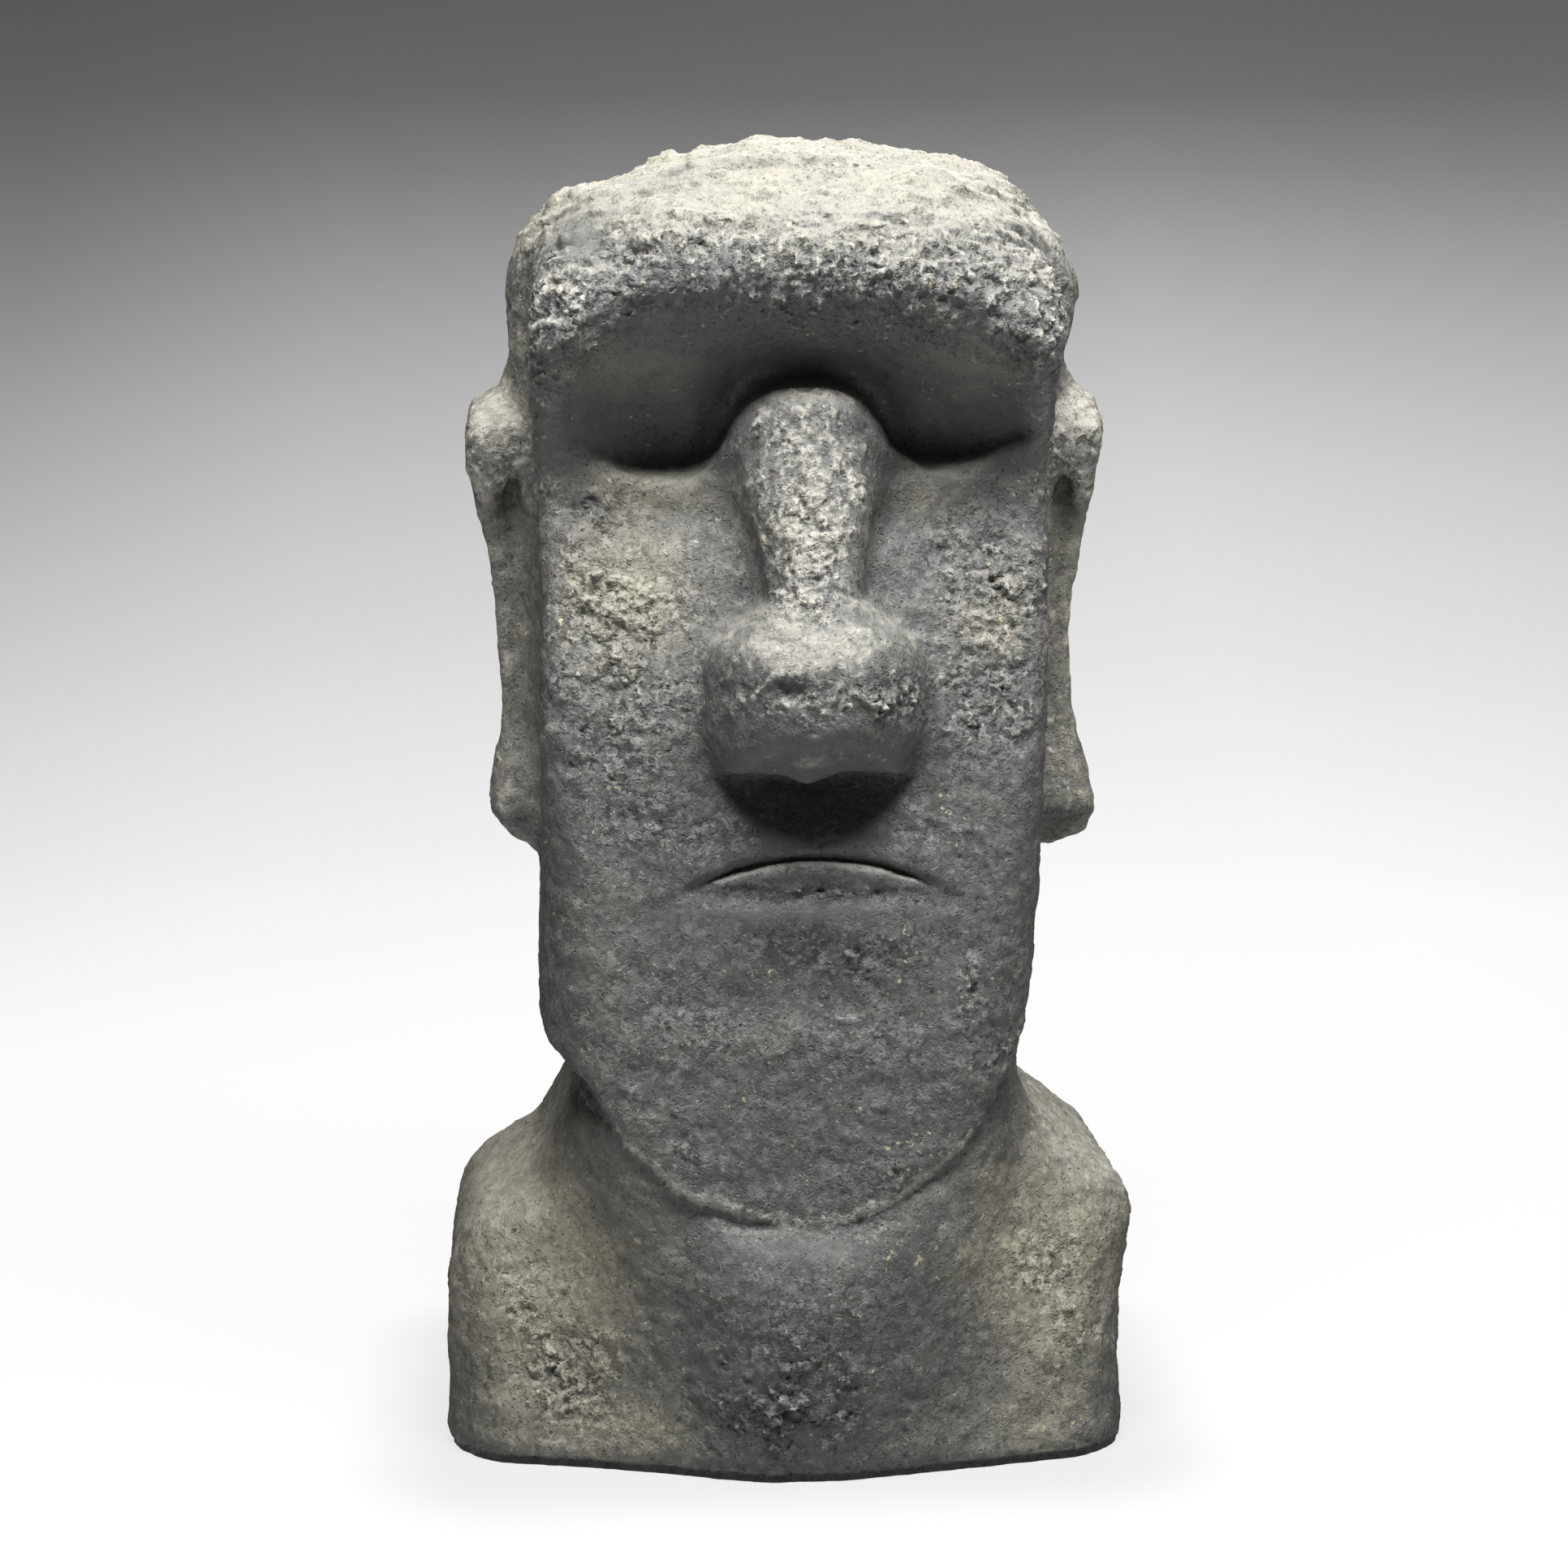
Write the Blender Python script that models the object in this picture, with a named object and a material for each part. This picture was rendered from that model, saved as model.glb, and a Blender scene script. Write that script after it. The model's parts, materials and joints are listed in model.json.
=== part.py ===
"""Garden moai statue: one cast piece, a head on a short bust, carved in the plain cut-stone manner.

Units are metres, +Z is up, the face looks along -Y, and the origin is on the floor under the middle of the foot.
The whole piece is one distance field: smooth joins and cuts of plain shapes whose widths, reaches and heights
are the named stations below.  The field is meshed, flattened at the foot, reduced and closed with one flat face.
"""
import math
import bmesh
import bpy
import numpy as np

for old in list(bpy.data.objects):
    bpy.data.objects.remove(old, do_unlink=True)

# ---------------------------------------------------------------- helpers
def smin(a, b, k):
    h = np.clip(0.5 + 0.5 * (b - a) / k, 0.0, 1.0)
    return b * (1 - h) + a * h - k * h * (1 - h)

def smax(a, b, k):
    return -smin(-a, -b, k)

def step(a, b, x):
    t = np.clip((x - a) / (b - a), 0.0, 1.0)
    return t * t * (3 - 2 * t)

def bump(x, c, w):
    return np.exp(-((x - c) / w) ** 2)

def curve(t, stations):
    """Monotone cubic through (t, value) stations, held level past the ends."""
    s = sorted(stations)
    xs = np.array([p[0] for p in s]); ys = np.array([p[1] for p in s])
    h = np.diff(xs); d = np.diff(ys) / h
    m = np.zeros(len(xs))
    for i in range(1, len(xs) - 1):
        if d[i - 1] * d[i] > 0:
            w1 = 2 * h[i] + h[i - 1]; w2 = h[i] + 2 * h[i - 1]
            m[i] = (w1 + w2) / (w1 / d[i - 1] + w2 / d[i])
    t = np.clip(t, xs[0], xs[-1])
    i = np.clip(np.searchsorted(xs, t, side="right") - 1, 0, len(h) - 1)
    u = (t - xs[i]) / h[i]
    return ((1 + 2 * u) * (1 - u) ** 2 * ys[i] + u * (1 - u) ** 2 * h[i] * m[i]
            + u * u * (3 - 2 * u) * ys[i + 1] + u * u * (u - 1) * h[i] * m[i + 1])

def plan_box(x, y, x0, x1, y0, y1, r_front, r_back):
    """Signed distance in plan to a rounded rectangle: x0..x1 by y0..y1, front is the low-y side."""
    cx, cy = (x0 + x1) / 2, (y0 + y1) / 2
    r = np.where(y < cy, r_front, r_back)
    r = np.minimum(r, np.minimum((x1 - x0) / 2, (y1 - y0) / 2) * 0.98)
    qx = np.abs(x - cx) - (x1 - x0) / 2 + r
    qy = np.abs(y - cy) - (y1 - y0) / 2 + r
    return np.hypot(np.maximum(qx, 0), np.maximum(qy, 0)) + np.minimum(np.maximum(qx, qy), 0) - r

# ---------------------------------------------------------------- named sizes, metres
HEIGHT = 0.560
NOSE_X = 0.005          # the nose and mouth sit a little to one side
GROOVE_DEPTH, GROOVE_HALF = 0.0044, 0.0015      # the mouth line
# (height, reach) stations up the piece; every width is measured from the middle plane
FACE_FRONT = [(0.095, -.1078), (0.110, -.1085), (0.125, -.1080), (0.145, -.1068), (0.165, -.1055), (0.19, -.1038), (0.225, -.1012), (0.25, -.0998), (0.28, -.0982), (0.30, -.0968), (0.315, -.0956),
              (0.33, -.0938), (0.345, -.0910), (0.36, -.0878), (0.385, -.0812), (0.41, -.0742), (0.42, -.0742), (0.430, -.0780), (0.445, -.0855), (0.460, -.0940), (0.470, -.0990), (0.480, -.1040), (0.489, -.1085), (0.497, -.1122), (0.505, -.1155),
              (0.513, -.1180), (0.520, -.1180), (0.528, -.1115), (0.537, -.1005), (0.56, -.085)]
FACE_LEFT = [(0.12, .1020), (0.16, .1065), (0.19, .1075), (0.22, .1065), (0.27, .1055), (0.33, .1055), (0.42, .1065), (0.47, .108), (0.51, .107), (0.55, .101)]
FACE_RIGHT = [(0.12, .0955), (0.16, .0985), (0.19, .0995), (0.22, .1010), (0.27, .1035), (0.33, .1045), (0.42, .1065), (0.47, .1075), (0.51, .107), (0.55, .100)]
FACE_EDGE = [(0.115, 0.066), (0.135, 0.052), (0.16, 0.042), (0.20, 0.034), (0.26, 0.022), (0.32, 0.014), (0.44, 0.012), (0.50, 0.020), (0.53, 0.03)]
SKULL_LEFT = [(0.13, .090), (0.17, .0985), (0.21, .1050), (0.26, .1065), (0.33, .1100), (0.42, .1140), (0.47, .1180), (0.51, .1190), (0.55, .110)]
SKULL_RIGHT = [(0.13, .087), (0.17, .0935), (0.21, .0985), (0.26, .1025), (0.33, .1080), (0.42, .1140), (0.465, .1180), (0.503, .1240), (0.525, .1205), (0.55, .110)]
SKULL_BACK = [(0.13, .080), (0.18, .084), (0.22, .092), (0.28, .101), (0.36, .106), (0.46, .106), (0.52, .100), (0.56, .09)]
TORSO_LEFT = [(0.0, .1490), (0.03, .1485), (0.07, .1488), (0.083, .1472), (0.092, .1430), (0.100, .1360), (0.108, .1240), (0.116, .1125), (0.127, .1050), (0.140, .0985), (0.156, .0890), (0.20, .086)]
TORSO_RIGHT = [(0.0, .1445), (0.03, .1430), (0.055, .1430), (0.075, .1450), (0.088, .1475), (0.098, .1488), (0.108, .1455), (0.122, .1305), (0.136, .1135), (0.150, .1010), (0.172, .0925), (0.20, .091)]
CHEST_FRONT = [(-.150, -.0770), (-.125, -.0838), (-.098, -.0895), (-.077, -.0946), (-.053, -.1015), (-.030, -.1100), (-.009, -.1145), (.015, -.1140), (.039, -.1095), (.0745, -.1020), (.111, -.0942), (.150, -.0860)]
EAR_OUT_L = [(0.256, .1140), (0.263, .1205), (0.276, .1285), (0.292, .1275), (0.318, .1240), (0.345, .1262), (0.38, .1285), (0.41, .1340), (0.434, .1368), (0.447, .1345), (0.456, .123)]
EAR_OUT_R = [(0.256, .1215), (0.262, .1305), (0.275, .1330), (0.292, .1300), (0.32, .1245), (0.351, .1240), (0.38, .1265), (0.41, .1300), (0.437, .1335), (0.449, .1315), (0.457, .124)]
EAR_FRONT = [(0.256, -.026), (0.275, -.037), (0.300, -.033), (0.35, -.028), (0.39, -.030), (0.415, -.040), (0.435, -.044), (0.456, -.030)]
EAR_BACK = [(0.256, .016), (0.28, .024), (0.32, .012), (0.38, .014), (0.43, .030), (0.456, .020)]
NOSE_HALF = [(0.300, .0440), (0.32, .0458), (0.343, .0452), (0.351, .0425), (0.358, .0355), (0.366, .0262), (0.374, .0200), (0.384, .0205), (0.400, .0240), (0.415, .0280), (0.440, .0305), (0.47, .030)]
NOSE_FRONT = [(0.296, -.126), (0.314, -.1305), (0.330, -.1326), (0.345, -.1322), (0.36, -.1265), (0.385, -.1160), (0.42, -.1035), (0.44, -.0985), (0.455, -.0950), (0.466, -.085)]
NOSE_ROUND = [(0.30, 0.042), (0.345, 0.038), (0.37, 0.020), (0.44, 0.028)]
NOSE_SILL = [(-.0437, .2984), (-.0362, .3004), (-.0151, .2998), (-.0039, .2962), (.0128, .3003), (.0298, .2993), (.0438, .2980)]
BROW_EDGE = [(-.100, .4720), (-.06, .4810), (-.02, .4870), (.01, .4850), (.05, .4785), (.075, .4715), (.100, .4640)]
CREASE = [(-.105, .4320), (-.084, .4255), (-.068, .4228), (-.045, .4228), (-.034, .4290), (-.024, .4400), (-.010, .4475), (.006, .4500), (.022, .4475), (.034, .4400), (.044, .4300), (.056, .4248), (.074, .4275), (.105, .4350)]
JAW_LINE = [(-0.1100, 0.1900), (-0.1020, 0.1785), (-0.0876, 0.1680), (-0.0783, 0.1528), (-0.0700, 0.1403), (-0.0620, 0.1347), (-0.0500, 0.1230), (-0.0332, 0.1174), (-0.0190, 0.1116), (-0.0045, 0.1089), (0.0101, 0.1079), (0.0220, 0.1109), (0.0342, 0.1151), (0.0462, 0.1218), (0.0621, 0.1345), (0.0747, 0.1468), (0.0837, 0.1617), (0.0915, 0.1720), (0.1020, 0.2040)]
# how far the chest stands ahead of its foot line up the middle, and the shelf under the jaw
CHEST_RISE = [(0.0, 0.0), (.0255, .0030), (.0470, .0053), (.0630, .0061), (.0740, .0059), (.0825, .0049), (.0890, .0034), (.0945, .0015), (.1000, -.0010), (.1050, -.0042), (.1100, -.0090), (.1200, -.0200)]
CROWN = [(-.135, .495), (-.1138, .5215), (-.0996, .5335), (-.0855, .5400), (-.0713, .5420), (-.0571, .5466), (-.0429, .5518), (-.0287, .5562), (-.0145, .5592),
         (.0060, .5600), (.0282, .5597), (.0425, .5572), (.0568, .5537), (.0712, .5500), (.0855, .5478), (.0987, .5412), (.1131, .5295), (.135, .500)]

def top_surface(x, y):
    t = curve(x, CROWN)
    # in front of the crest the crown evens out into one broad slope that steps down to the brow
    w = step(0.020, -0.050, y)
    t = t * (1 - w) + w * (0.5585 - 1.7 * x ** 2 - 75.0 * x ** 4)
    drop = 0.17 * np.maximum(0, -(y - 0.010)) + 0.22 * np.maximum(0, -(y + 0.045)) + 0.75 * np.maximum(0, -(y + 0.096))
    shelf = 0.0035 * bump(y, -0.052, 0.016) * bump(x, 0.004, 0.06)
    return t - drop + shelf - 0.06 * np.maximum(0, y - 0.03) - 0.25 * np.maximum(0, y - 0.075)

def jaw_bottom(x, y):
    rise = step(-0.09, 0.06, x)          # the jaw runs back level on the left and climbs on the right
    return curve(x, JAW_LINE) + (0.04 + 0.41 * rise) * np.maximum(0, y + 0.075) + 0.06 * np.maximum(0, y + 0.100) + (0.50 - 0.25 * rise) * np.maximum(0, y + 0.02)

def mouth_line(u):
    return 0.2636 - 0.0118 * (np.abs(u) / 0.0500) ** 2.2

def relief(x, z):
    """How far the carved lips and chin hollow stand forward of the plain face, in metres."""
    u = x - NOSE_X - 0.0015
    zm = mouth_line(np.minimum(np.abs(u), 0.060))
    low = 0.2482 + 0.0006 * (u / 0.05) ** 2
    gap = np.maximum(zm - low, 0.0035)
    s = (z - low) / gap
    ends = step(0.058, 0.024, np.abs(u))
    lip = 0.0034 * step(-0.30, 0.70, s) * (1 - 0.35 * step(0.60, 1.0, s)) * step(zm + 0.0025, zm + 0.0005, z) * ends
    upper = (0.0024 * step(zm + 0.0005, zm + 0.0045, z) + 0.0008 * step(zm - 0.001, zm + 0.001, z)) * step(zm + 0.034, zm + 0.004, z) * step(0.080, 0.034, np.abs(u))
    under = 0.0034 * step(low + 0.0030, low - 0.0070, z) * step(low - 0.055, low - 0.014, z) * step(0.070, 0.026, np.abs(u))
    pocket = -0.0125 * bump(z, 0.2950, 0.0150) * bump(u, 0.0, 0.024 + 0.30 * np.clip(z - 0.275, 0, 0.03))
    return lip + upper + under + pocket

def mouth_groove(x, z):
    """Depth of the groove cut along the mouth line, fading toward its corners."""
    u = x - NOSE_X - 0.0015
    fade = step(0.0520, 0.0300, np.abs(u))
    return GROOVE_DEPTH * bump(z, mouth_line(np.minimum(np.abs(u), 0.060)), GROOVE_HALF * (0.6 + 0.4 * fade)) * fade

def chest_relief(x, z):
    """Extra forward reach of the chest over its line at the foot; the shelf under the jaw follows the jaw's line."""
    ax = np.abs(x)
    lift = (np.minimum(curve(x, JAW_LINE), 0.150) - 0.1050) * step(0.010, 0.045, ax)
    rise = curve(z - lift, CHEST_RISE)
    r = np.where(rise > 0, rise * bump(x, 0.0, 0.062), rise * step(0.100, 0.072, ax))
    return r - 0.0035 * (bump(x, -0.082, 0.026) + bump(x, 0.086, 0.026)) * step(0.0, 0.05, z)

def dish(x, y, z, centre, radius):
    cx, cy, cz = centre
    return np.sqrt((x - cx) ** 2 + (y - cy) ** 2 + (z - cz) ** 2) - radius

def field(x, y, z):
    ax = np.abs(x)
    # torso and shoulders
    left, right = curve(z, TORSO_LEFT), curve(z, TORSO_RIGHT)
    foot = step(0.010, 0.0, z)
    front = curve(x, CHEST_FRONT) + (0.10 * np.maximum(0, z - 0.060) + 0.13 * z) * step(0.055, 0.115, ax) + 0.0012 * foot
    front = front - chest_relief(x, z)
    # the chest comes up to the jaw's edge with a soft collar
    line = curve(x, JAW_LINE)
    r = curve(line, FACE_EDGE)
    over = np.clip(ax - np.where(x < 0, curve(line, FACE_LEFT), curve(line, FACE_RIGHT)) + r, 0, r)
    rim = curve(line, FACE_FRONT) + r - np.sqrt(r * r - over * over)
    front = front + np.minimum(0, rim + 0.0036 - front) * np.exp(-(np.maximum(line - z, 0) / 0.042) ** 2) * step(0.110, 0.088, ax)
    back = 0.108 - 0.20 * np.maximum(0, z - 0.08) - 0.004 * foot
    torso = plan_box(x, y, -left + 0.0012 * foot, right - 0.0012 * foot, front, back, 0.026, 0.036)
    neck = plan_box(x, y, -0.0900, 0.0940, -0.078, 0.084 + 0 * z, 0.035, 0.045)
    neck = smax(neck, z - 0.30, 0.01)
    torso = smax(torso, z - 0.20, 0.02)
    body = smin(torso, neck, 0.016)
    body = smax(body, -0.012 - z, 0.002)
    # head: a front mask and a slightly wider skull behind it
    yf = y + relief(x, z) * step(-0.05, -0.07, y)
    lift = (0.0070 * bump(x, -0.048, 0.030) - 0.0050 * bump(x, 0.070, 0.030)) * step(0.44, 0.47, z)      # the brow hangs lower on the right
    f = curve(z - lift, FACE_FRONT) - 0.0110 * bump(z, 0.474, 0.020) * step(0.066, 0.098, ax)
    mask = plan_box(x, yf, -curve(z, FACE_LEFT), curve(z, FACE_RIGHT), f, 0.03 + 0 * f, curve(z, FACE_EDGE), 0.01)
    skull = plan_box(x, y, -curve(z, SKULL_LEFT), curve(z, SKULL_RIGHT), -0.046 + 0 * f, curve(z, SKULL_BACK), 0.020, 0.048)
    head = smin(mask, skull, 0.008)
    head = smax(head, (z - top_surface(x, y)) * 0.93, 0.016)
    head = smax(head, (jaw_bottom(x, y) - z) * 0.85, 0.006)
    # eye sockets cut under the brow
    u = x - 0.003
    au = np.abs(u)
    zb, zc = curve(x, BROW_EDGE), curve(x, CREASE)
    yc = -0.0540 - 0.014 * step(0.055, 0.095, au)
    dy, dz = 0.1115 + yc, zb - zc
    t = np.clip((z - zc) / dz, 0.0, 1.6)      # the hollow's roof stands upright at the crease and curls over to the brow
    d_up = (y - yc + dy * t ** 1.6) / np.sqrt(1 + (1.6 * dy / dz * t ** 0.6) ** 2)
    d_low = (zc - 0.24 * (yc - y) - z) * 0.972
    cut = smax(d_up, d_low, 0.005)
    cut = smax(cut, (au - 0.0975) * 0.8, 0.020)
    head = smax(head, -cut, 0.007)
    # nose
    wn, yn = curve(z, NOSE_HALF), curve(z, NOSE_FRONT)
    nx = x - NOSE_X - 0.0015 * step(0.40, 0.35, z)
    nose = plan_box(nx, y, -wn, wn, yn, -0.03 + 0 * wn, curve(z, NOSE_ROUND), 0.005)
    nose = smax(nose, (z - 0.4550 - 0.20 * (y + 0.09) + 9 * nx ** 2 + 9000 * nx ** 4) * 0.8, 0.009)
    sill = curve(nx, NOSE_SILL)
    zu = sill + np.maximum(-0.109 - y, -0.004) * 0.82 * (1 - 0.72 * np.minimum(1, (nx / 0.046) ** 2))
    nose = smax(nose, (zu - z) * 0.65, 0.0035)
    nose = smax(nose, (sill + 0.10 * (y + 0.110) - z) * 0.99, 0.003)
    head = smin(head, nose, 0.006 + 0.010 * step(0.350, 0.375, z))
    # ears
    out = np.where(x < 0, curve(z, EAR_OUT_L), curve(z, EAR_OUT_R))
    ear = plan_box(ax, y, 0.08 + 0 * out, out, curve(z, EAR_FRONT), curve(z, EAR_BACK), 0.008, 0.012)
    ear = smax(ear, (z - 0.4585 - 0.25 * (0.1365 - ax)) * 0.95, 0.010)
    ear = smax(ear, 0.2555 - z, 0.008)
    # the hollow between the ear's rim and the head's side, and the one on its front
    cz = np.clip(z, 0.305, 0.405)
    chan = np.sqrt(((y + 0.006) / 0.016) ** 2 + ((z - cz) / 0.024) ** 2) - 1
    chan = smax(chan * 0.012, (out - 0.0055 - ax), 0.004)
    ear = smax(ear, -chan, 0.004)
    cz = np.clip(z, 0.318, 0.404)
    hollow = np.sqrt((ax - 0.1165) ** 2 + (y + 0.0345) ** 2 + ((z - cz) * 0.35) ** 2) - 0.0052
    ear = smax(ear, -hollow, 0.006)
    head = smin(head, ear, 0.006)
    # broad tool hollows
    for centre, radius, k in HOLLOWS:
        head = smax(head, -dish(x, y, z, centre, radius), k)
    return smin(body, head, 0.0070)

# (centre of the tool's sweep, its radius, softness of the edge)
HOLLOWS = [((-.0985, -.1240, .5420), .0300, .004), ((.004, -.1390, .5250), .0280, .006), ((-.045, -.1330, .5330), .0270, .006)]

# ---------------------------------------------------------------- mesher
def surface_nets(F, origin, h):
    ins = F < 0
    n = np.zeros(tuple(s - 1 for s in F.shape), np.int8)
    for i in (0, 1):
        for j in (0, 1):
            for k in (0, 1):
                n += ins[i:F.shape[0] - 1 + i, j:F.shape[1] - 1 + j, k:F.shape[2] - 1 + k]
    act = (n > 0) & (n < 8)
    ci, cj, ck = np.nonzero(act)
    idx = -np.ones(act.shape, np.int64)
    idx[act] = np.arange(len(ci))
    pos = np.zeros((len(ci), 3)); cnt = np.zeros(len(ci))
    corners = [(i, j, k) for i in (0, 1) for j in (0, 1) for k in (0, 1)]
    val = {c: F[ci + c[0], cj + c[1], ck + c[2]] for c in corners}
    for a in corners:
        for ax in range(3):
            if a[ax] == 0:
                b = list(a); b[ax] = 1; b = tuple(b)
                va, vb = val[a], val[b]
                m = (va < 0) != (vb < 0)
                t = va[m] / (va[m] - vb[m])
                p = np.tile(np.array(a, float), (m.sum(), 1)); p[:, ax] = t
                pos[m] += p; cnt[m] += 1
    pos /= cnt[:, None]
    verts = (np.stack([ci, cj, ck], 1) + pos) * h + np.array(origin)
    quads = []
    for ax in range(3):
        a, b = [(1, 2), (2, 0), (0, 1)][ax]
        sl0 = [slice(None)] * 3; sl1 = [slice(None)] * 3
        sl0[ax] = slice(0, -1); sl1[ax] = slice(1, None)
        for s in (sl0, sl1):
            s[a] = slice(1, -1); s[b] = slice(1, -1)
        i0, i1 = ins[tuple(sl0)], ins[tuple(sl1)]
        for flip, m in ((False, i0 & ~i1), (True, ~i0 & i1)):
            g = np.stack(np.nonzero(m), 1)
            g[:, a] += 1; g[:, b] += 1
            def cell(da, db):
                c = g.copy(); c[:, a] += da; c[:, b] += db
                return idx[c[:, 0], c[:, 1], c[:, 2]]
            q = np.stack([cell(-1, -1), cell(0, -1), cell(0, 0), cell(-1, 0)], 1)
            quads.append(q[:, ::-1] if flip else q)
    return verts, np.concatenate(quads)

def gradient(p, e=0.0006):
    g = np.empty_like(p)
    for i in range(3):
        d = np.zeros(3); d[i] = e
        a, b = p + d, p - d
        g[:, i] = (field(*a.T) - field(*b.T)) / (2 * e)
    return g

def project(p, reach, rounds=2):
    for _ in range(rounds):
        f = field(*p.T); g = gradient(p)
        s = -f / np.maximum((g ** 2).sum(1), 0.05)
        mv = g * s[:, None]
        l = np.linalg.norm(mv, axis=1)
        mv *= np.minimum(1, reach / np.maximum(l, 1e-12))[:, None]
        p = p + mv
    return p

def grid_mesh(h):
    lo = np.array([-0.168, -0.168, -0.020]); hi = np.array([0.168, 0.132, 0.576])
    axes = [np.arange(lo[i], hi[i] + h, h) for i in range(3)]
    X, Y, Z = np.meshgrid(*axes, indexing="ij", sparse=False)
    v, q = surface_nets(field(X, Y, Z), lo, h)
    return project(v, h * 0.7), q

# ---------------------------------------------------------------- the solid
TARGET_TRIANGLES = 9400

verts, quads = grid_mesh(0.0032)
bm = bmesh.new()
bv = [bm.verts.new(p) for p in verts.tolist()]
for q in quads.tolist():
    bm.faces.new([bv[i] for i in q])
# a finer net round the mouth, then the groove
def at_mouth(v):
    return v.co.y < -0.08 and 0.242 < v.co.z < 0.274 and abs(v.co.x - NOSE_X) < 0.060
bmesh.ops.subdivide_edges(bm, edges=[e for e in bm.edges if at_mouth(e.verts[0]) and at_mouth(e.verts[1])], cuts=1, use_grid_fill=True)
near = [v for v in bm.verts if at_mouth(v)]
p = project(np.array([v.co for v in near]), 0.0015)
p[:, 1] += mouth_groove(p[:, 0], p[:, 2])
for v, c in zip(near, p.tolist()):
    v.co = c
bm.normal_update()
bmesh.ops.bisect_plane(bm, geom=bm.verts[:] + bm.edges[:] + bm.faces[:], dist=2e-5, plane_co=(0, 0, 0), plane_no=(0, 0, 1), clear_inner=True)
bmesh.ops.edgeloop_fill(bm, edges=[e for e in bm.edges if len(e.link_faces) == 1])
bmesh.ops.triangulate(bm, faces=bm.faces[:])
full = len(bm.faces)
work = bpy.data.meshes.new("work")
bm.to_mesh(work)
bm.free()

statue = bpy.data.objects.new("moai_statue", work)
bpy.context.scene.collection.objects.link(statue)
reduce = statue.modifiers.new("reduce", "DECIMATE")
reduce.ratio = TARGET_TRIANGLES / full
reduced = bpy.data.meshes.new_from_object(statue.evaluated_get(bpy.context.evaluated_depsgraph_get()))
statue.modifiers.clear()

# the foot: what lies on the floor plane becomes exactly flat, and one face
bm = bmesh.new()
bm.from_mesh(reduced)
for v in bm.verts:
    if v.co.z < 0.0006:
        v.co.z = 0.0
bmesh.ops.dissolve_degenerate(bm, dist=3e-5, edges=bm.edges[:])
foot = [f for f in bm.faces if all(v.co.z == 0.0 for v in f.verts)]
bmesh.ops.dissolve_faces(bm, faces=foot, use_verts=False)
bm.normal_update()
bad = sum(1 for e in bm.edges if len(e.link_faces) != 2)
flat = [f for f in bm.faces if len(f.verts) > 8]
xs = [v.co.x for v in bm.verts]; ys = [v.co.y for v in bm.verts]; zs = [v.co.z for v in bm.verts]
volume = bm.calc_volume()
solid = bpy.data.meshes.new("moai_statue")
bm.to_mesh(solid)
bm.free()
statue.data = solid
bpy.data.meshes.remove(work)
bpy.data.meshes.remove(reduced)

# painted cast stone, dark grey
paint = bpy.data.materials.new("painted_cast_stone")
paint.use_nodes = True
shader = paint.node_tree.nodes["Principled BSDF"]
shader.inputs["Base Color"].default_value = (0.20, 0.20, 0.185, 1.0)
shader.inputs["Roughness"].default_value = 0.62
shader.inputs["Metallic"].default_value = 0.0
solid.materials.append(paint)

print("moai_statue", "faces", len(solid.polygons), "bad edges", bad, "foot faces", len(flat), "volume %.5f" % volume,
      "x %.4f..%.4f y %.4f..%.4f z %.4f..%.4f" % (min(xs), max(xs), min(ys), max(ys), min(zs), max(zs)))
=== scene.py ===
"""Looks for the garden moai statue: the worn, torn and pitted surface of the painted cast stone, its colours, and the studio.

Metres, +Z up, the face looks along -Y.  The statue's plain shape is the same distance field as its CAD solid; the relief
is worked onto a fine mesh of it here, the mesh is then reduced, and grain too fine for the mesh is in the material.
"""
import json
import math
import time
import bmesh
import bpy
import numpy as np
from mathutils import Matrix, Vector

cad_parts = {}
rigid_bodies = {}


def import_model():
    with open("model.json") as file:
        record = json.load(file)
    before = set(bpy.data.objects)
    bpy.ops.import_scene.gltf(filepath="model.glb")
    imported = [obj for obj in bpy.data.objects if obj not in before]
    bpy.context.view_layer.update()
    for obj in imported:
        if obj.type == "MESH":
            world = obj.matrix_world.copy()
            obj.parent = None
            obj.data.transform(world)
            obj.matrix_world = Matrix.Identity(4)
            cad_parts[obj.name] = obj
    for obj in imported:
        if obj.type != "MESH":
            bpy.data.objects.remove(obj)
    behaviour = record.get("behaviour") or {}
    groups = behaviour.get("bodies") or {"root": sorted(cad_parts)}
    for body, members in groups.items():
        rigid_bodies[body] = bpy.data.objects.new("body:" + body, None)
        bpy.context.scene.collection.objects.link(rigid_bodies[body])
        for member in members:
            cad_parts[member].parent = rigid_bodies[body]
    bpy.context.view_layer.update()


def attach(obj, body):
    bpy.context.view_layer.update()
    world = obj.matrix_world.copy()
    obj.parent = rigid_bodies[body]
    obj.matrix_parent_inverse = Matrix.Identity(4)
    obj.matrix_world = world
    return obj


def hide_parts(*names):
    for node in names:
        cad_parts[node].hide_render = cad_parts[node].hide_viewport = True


for old in list(bpy.data.objects):
    bpy.data.objects.remove(old, do_unlink=True)

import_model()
started = time.time()

# ---------------------------------------------------------------- helpers
def smin(a, b, k):
    h = np.clip(0.5 + 0.5 * (b - a) / k, 0.0, 1.0)
    return b * (1 - h) + a * h - k * h * (1 - h)

def smax(a, b, k):
    return -smin(-a, -b, k)

def step(a, b, x):
    t = np.clip((x - a) / (b - a), 0.0, 1.0)
    return t * t * (3 - 2 * t)

def bump(x, c, w):
    return np.exp(-((x - c) / w) ** 2)

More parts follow.
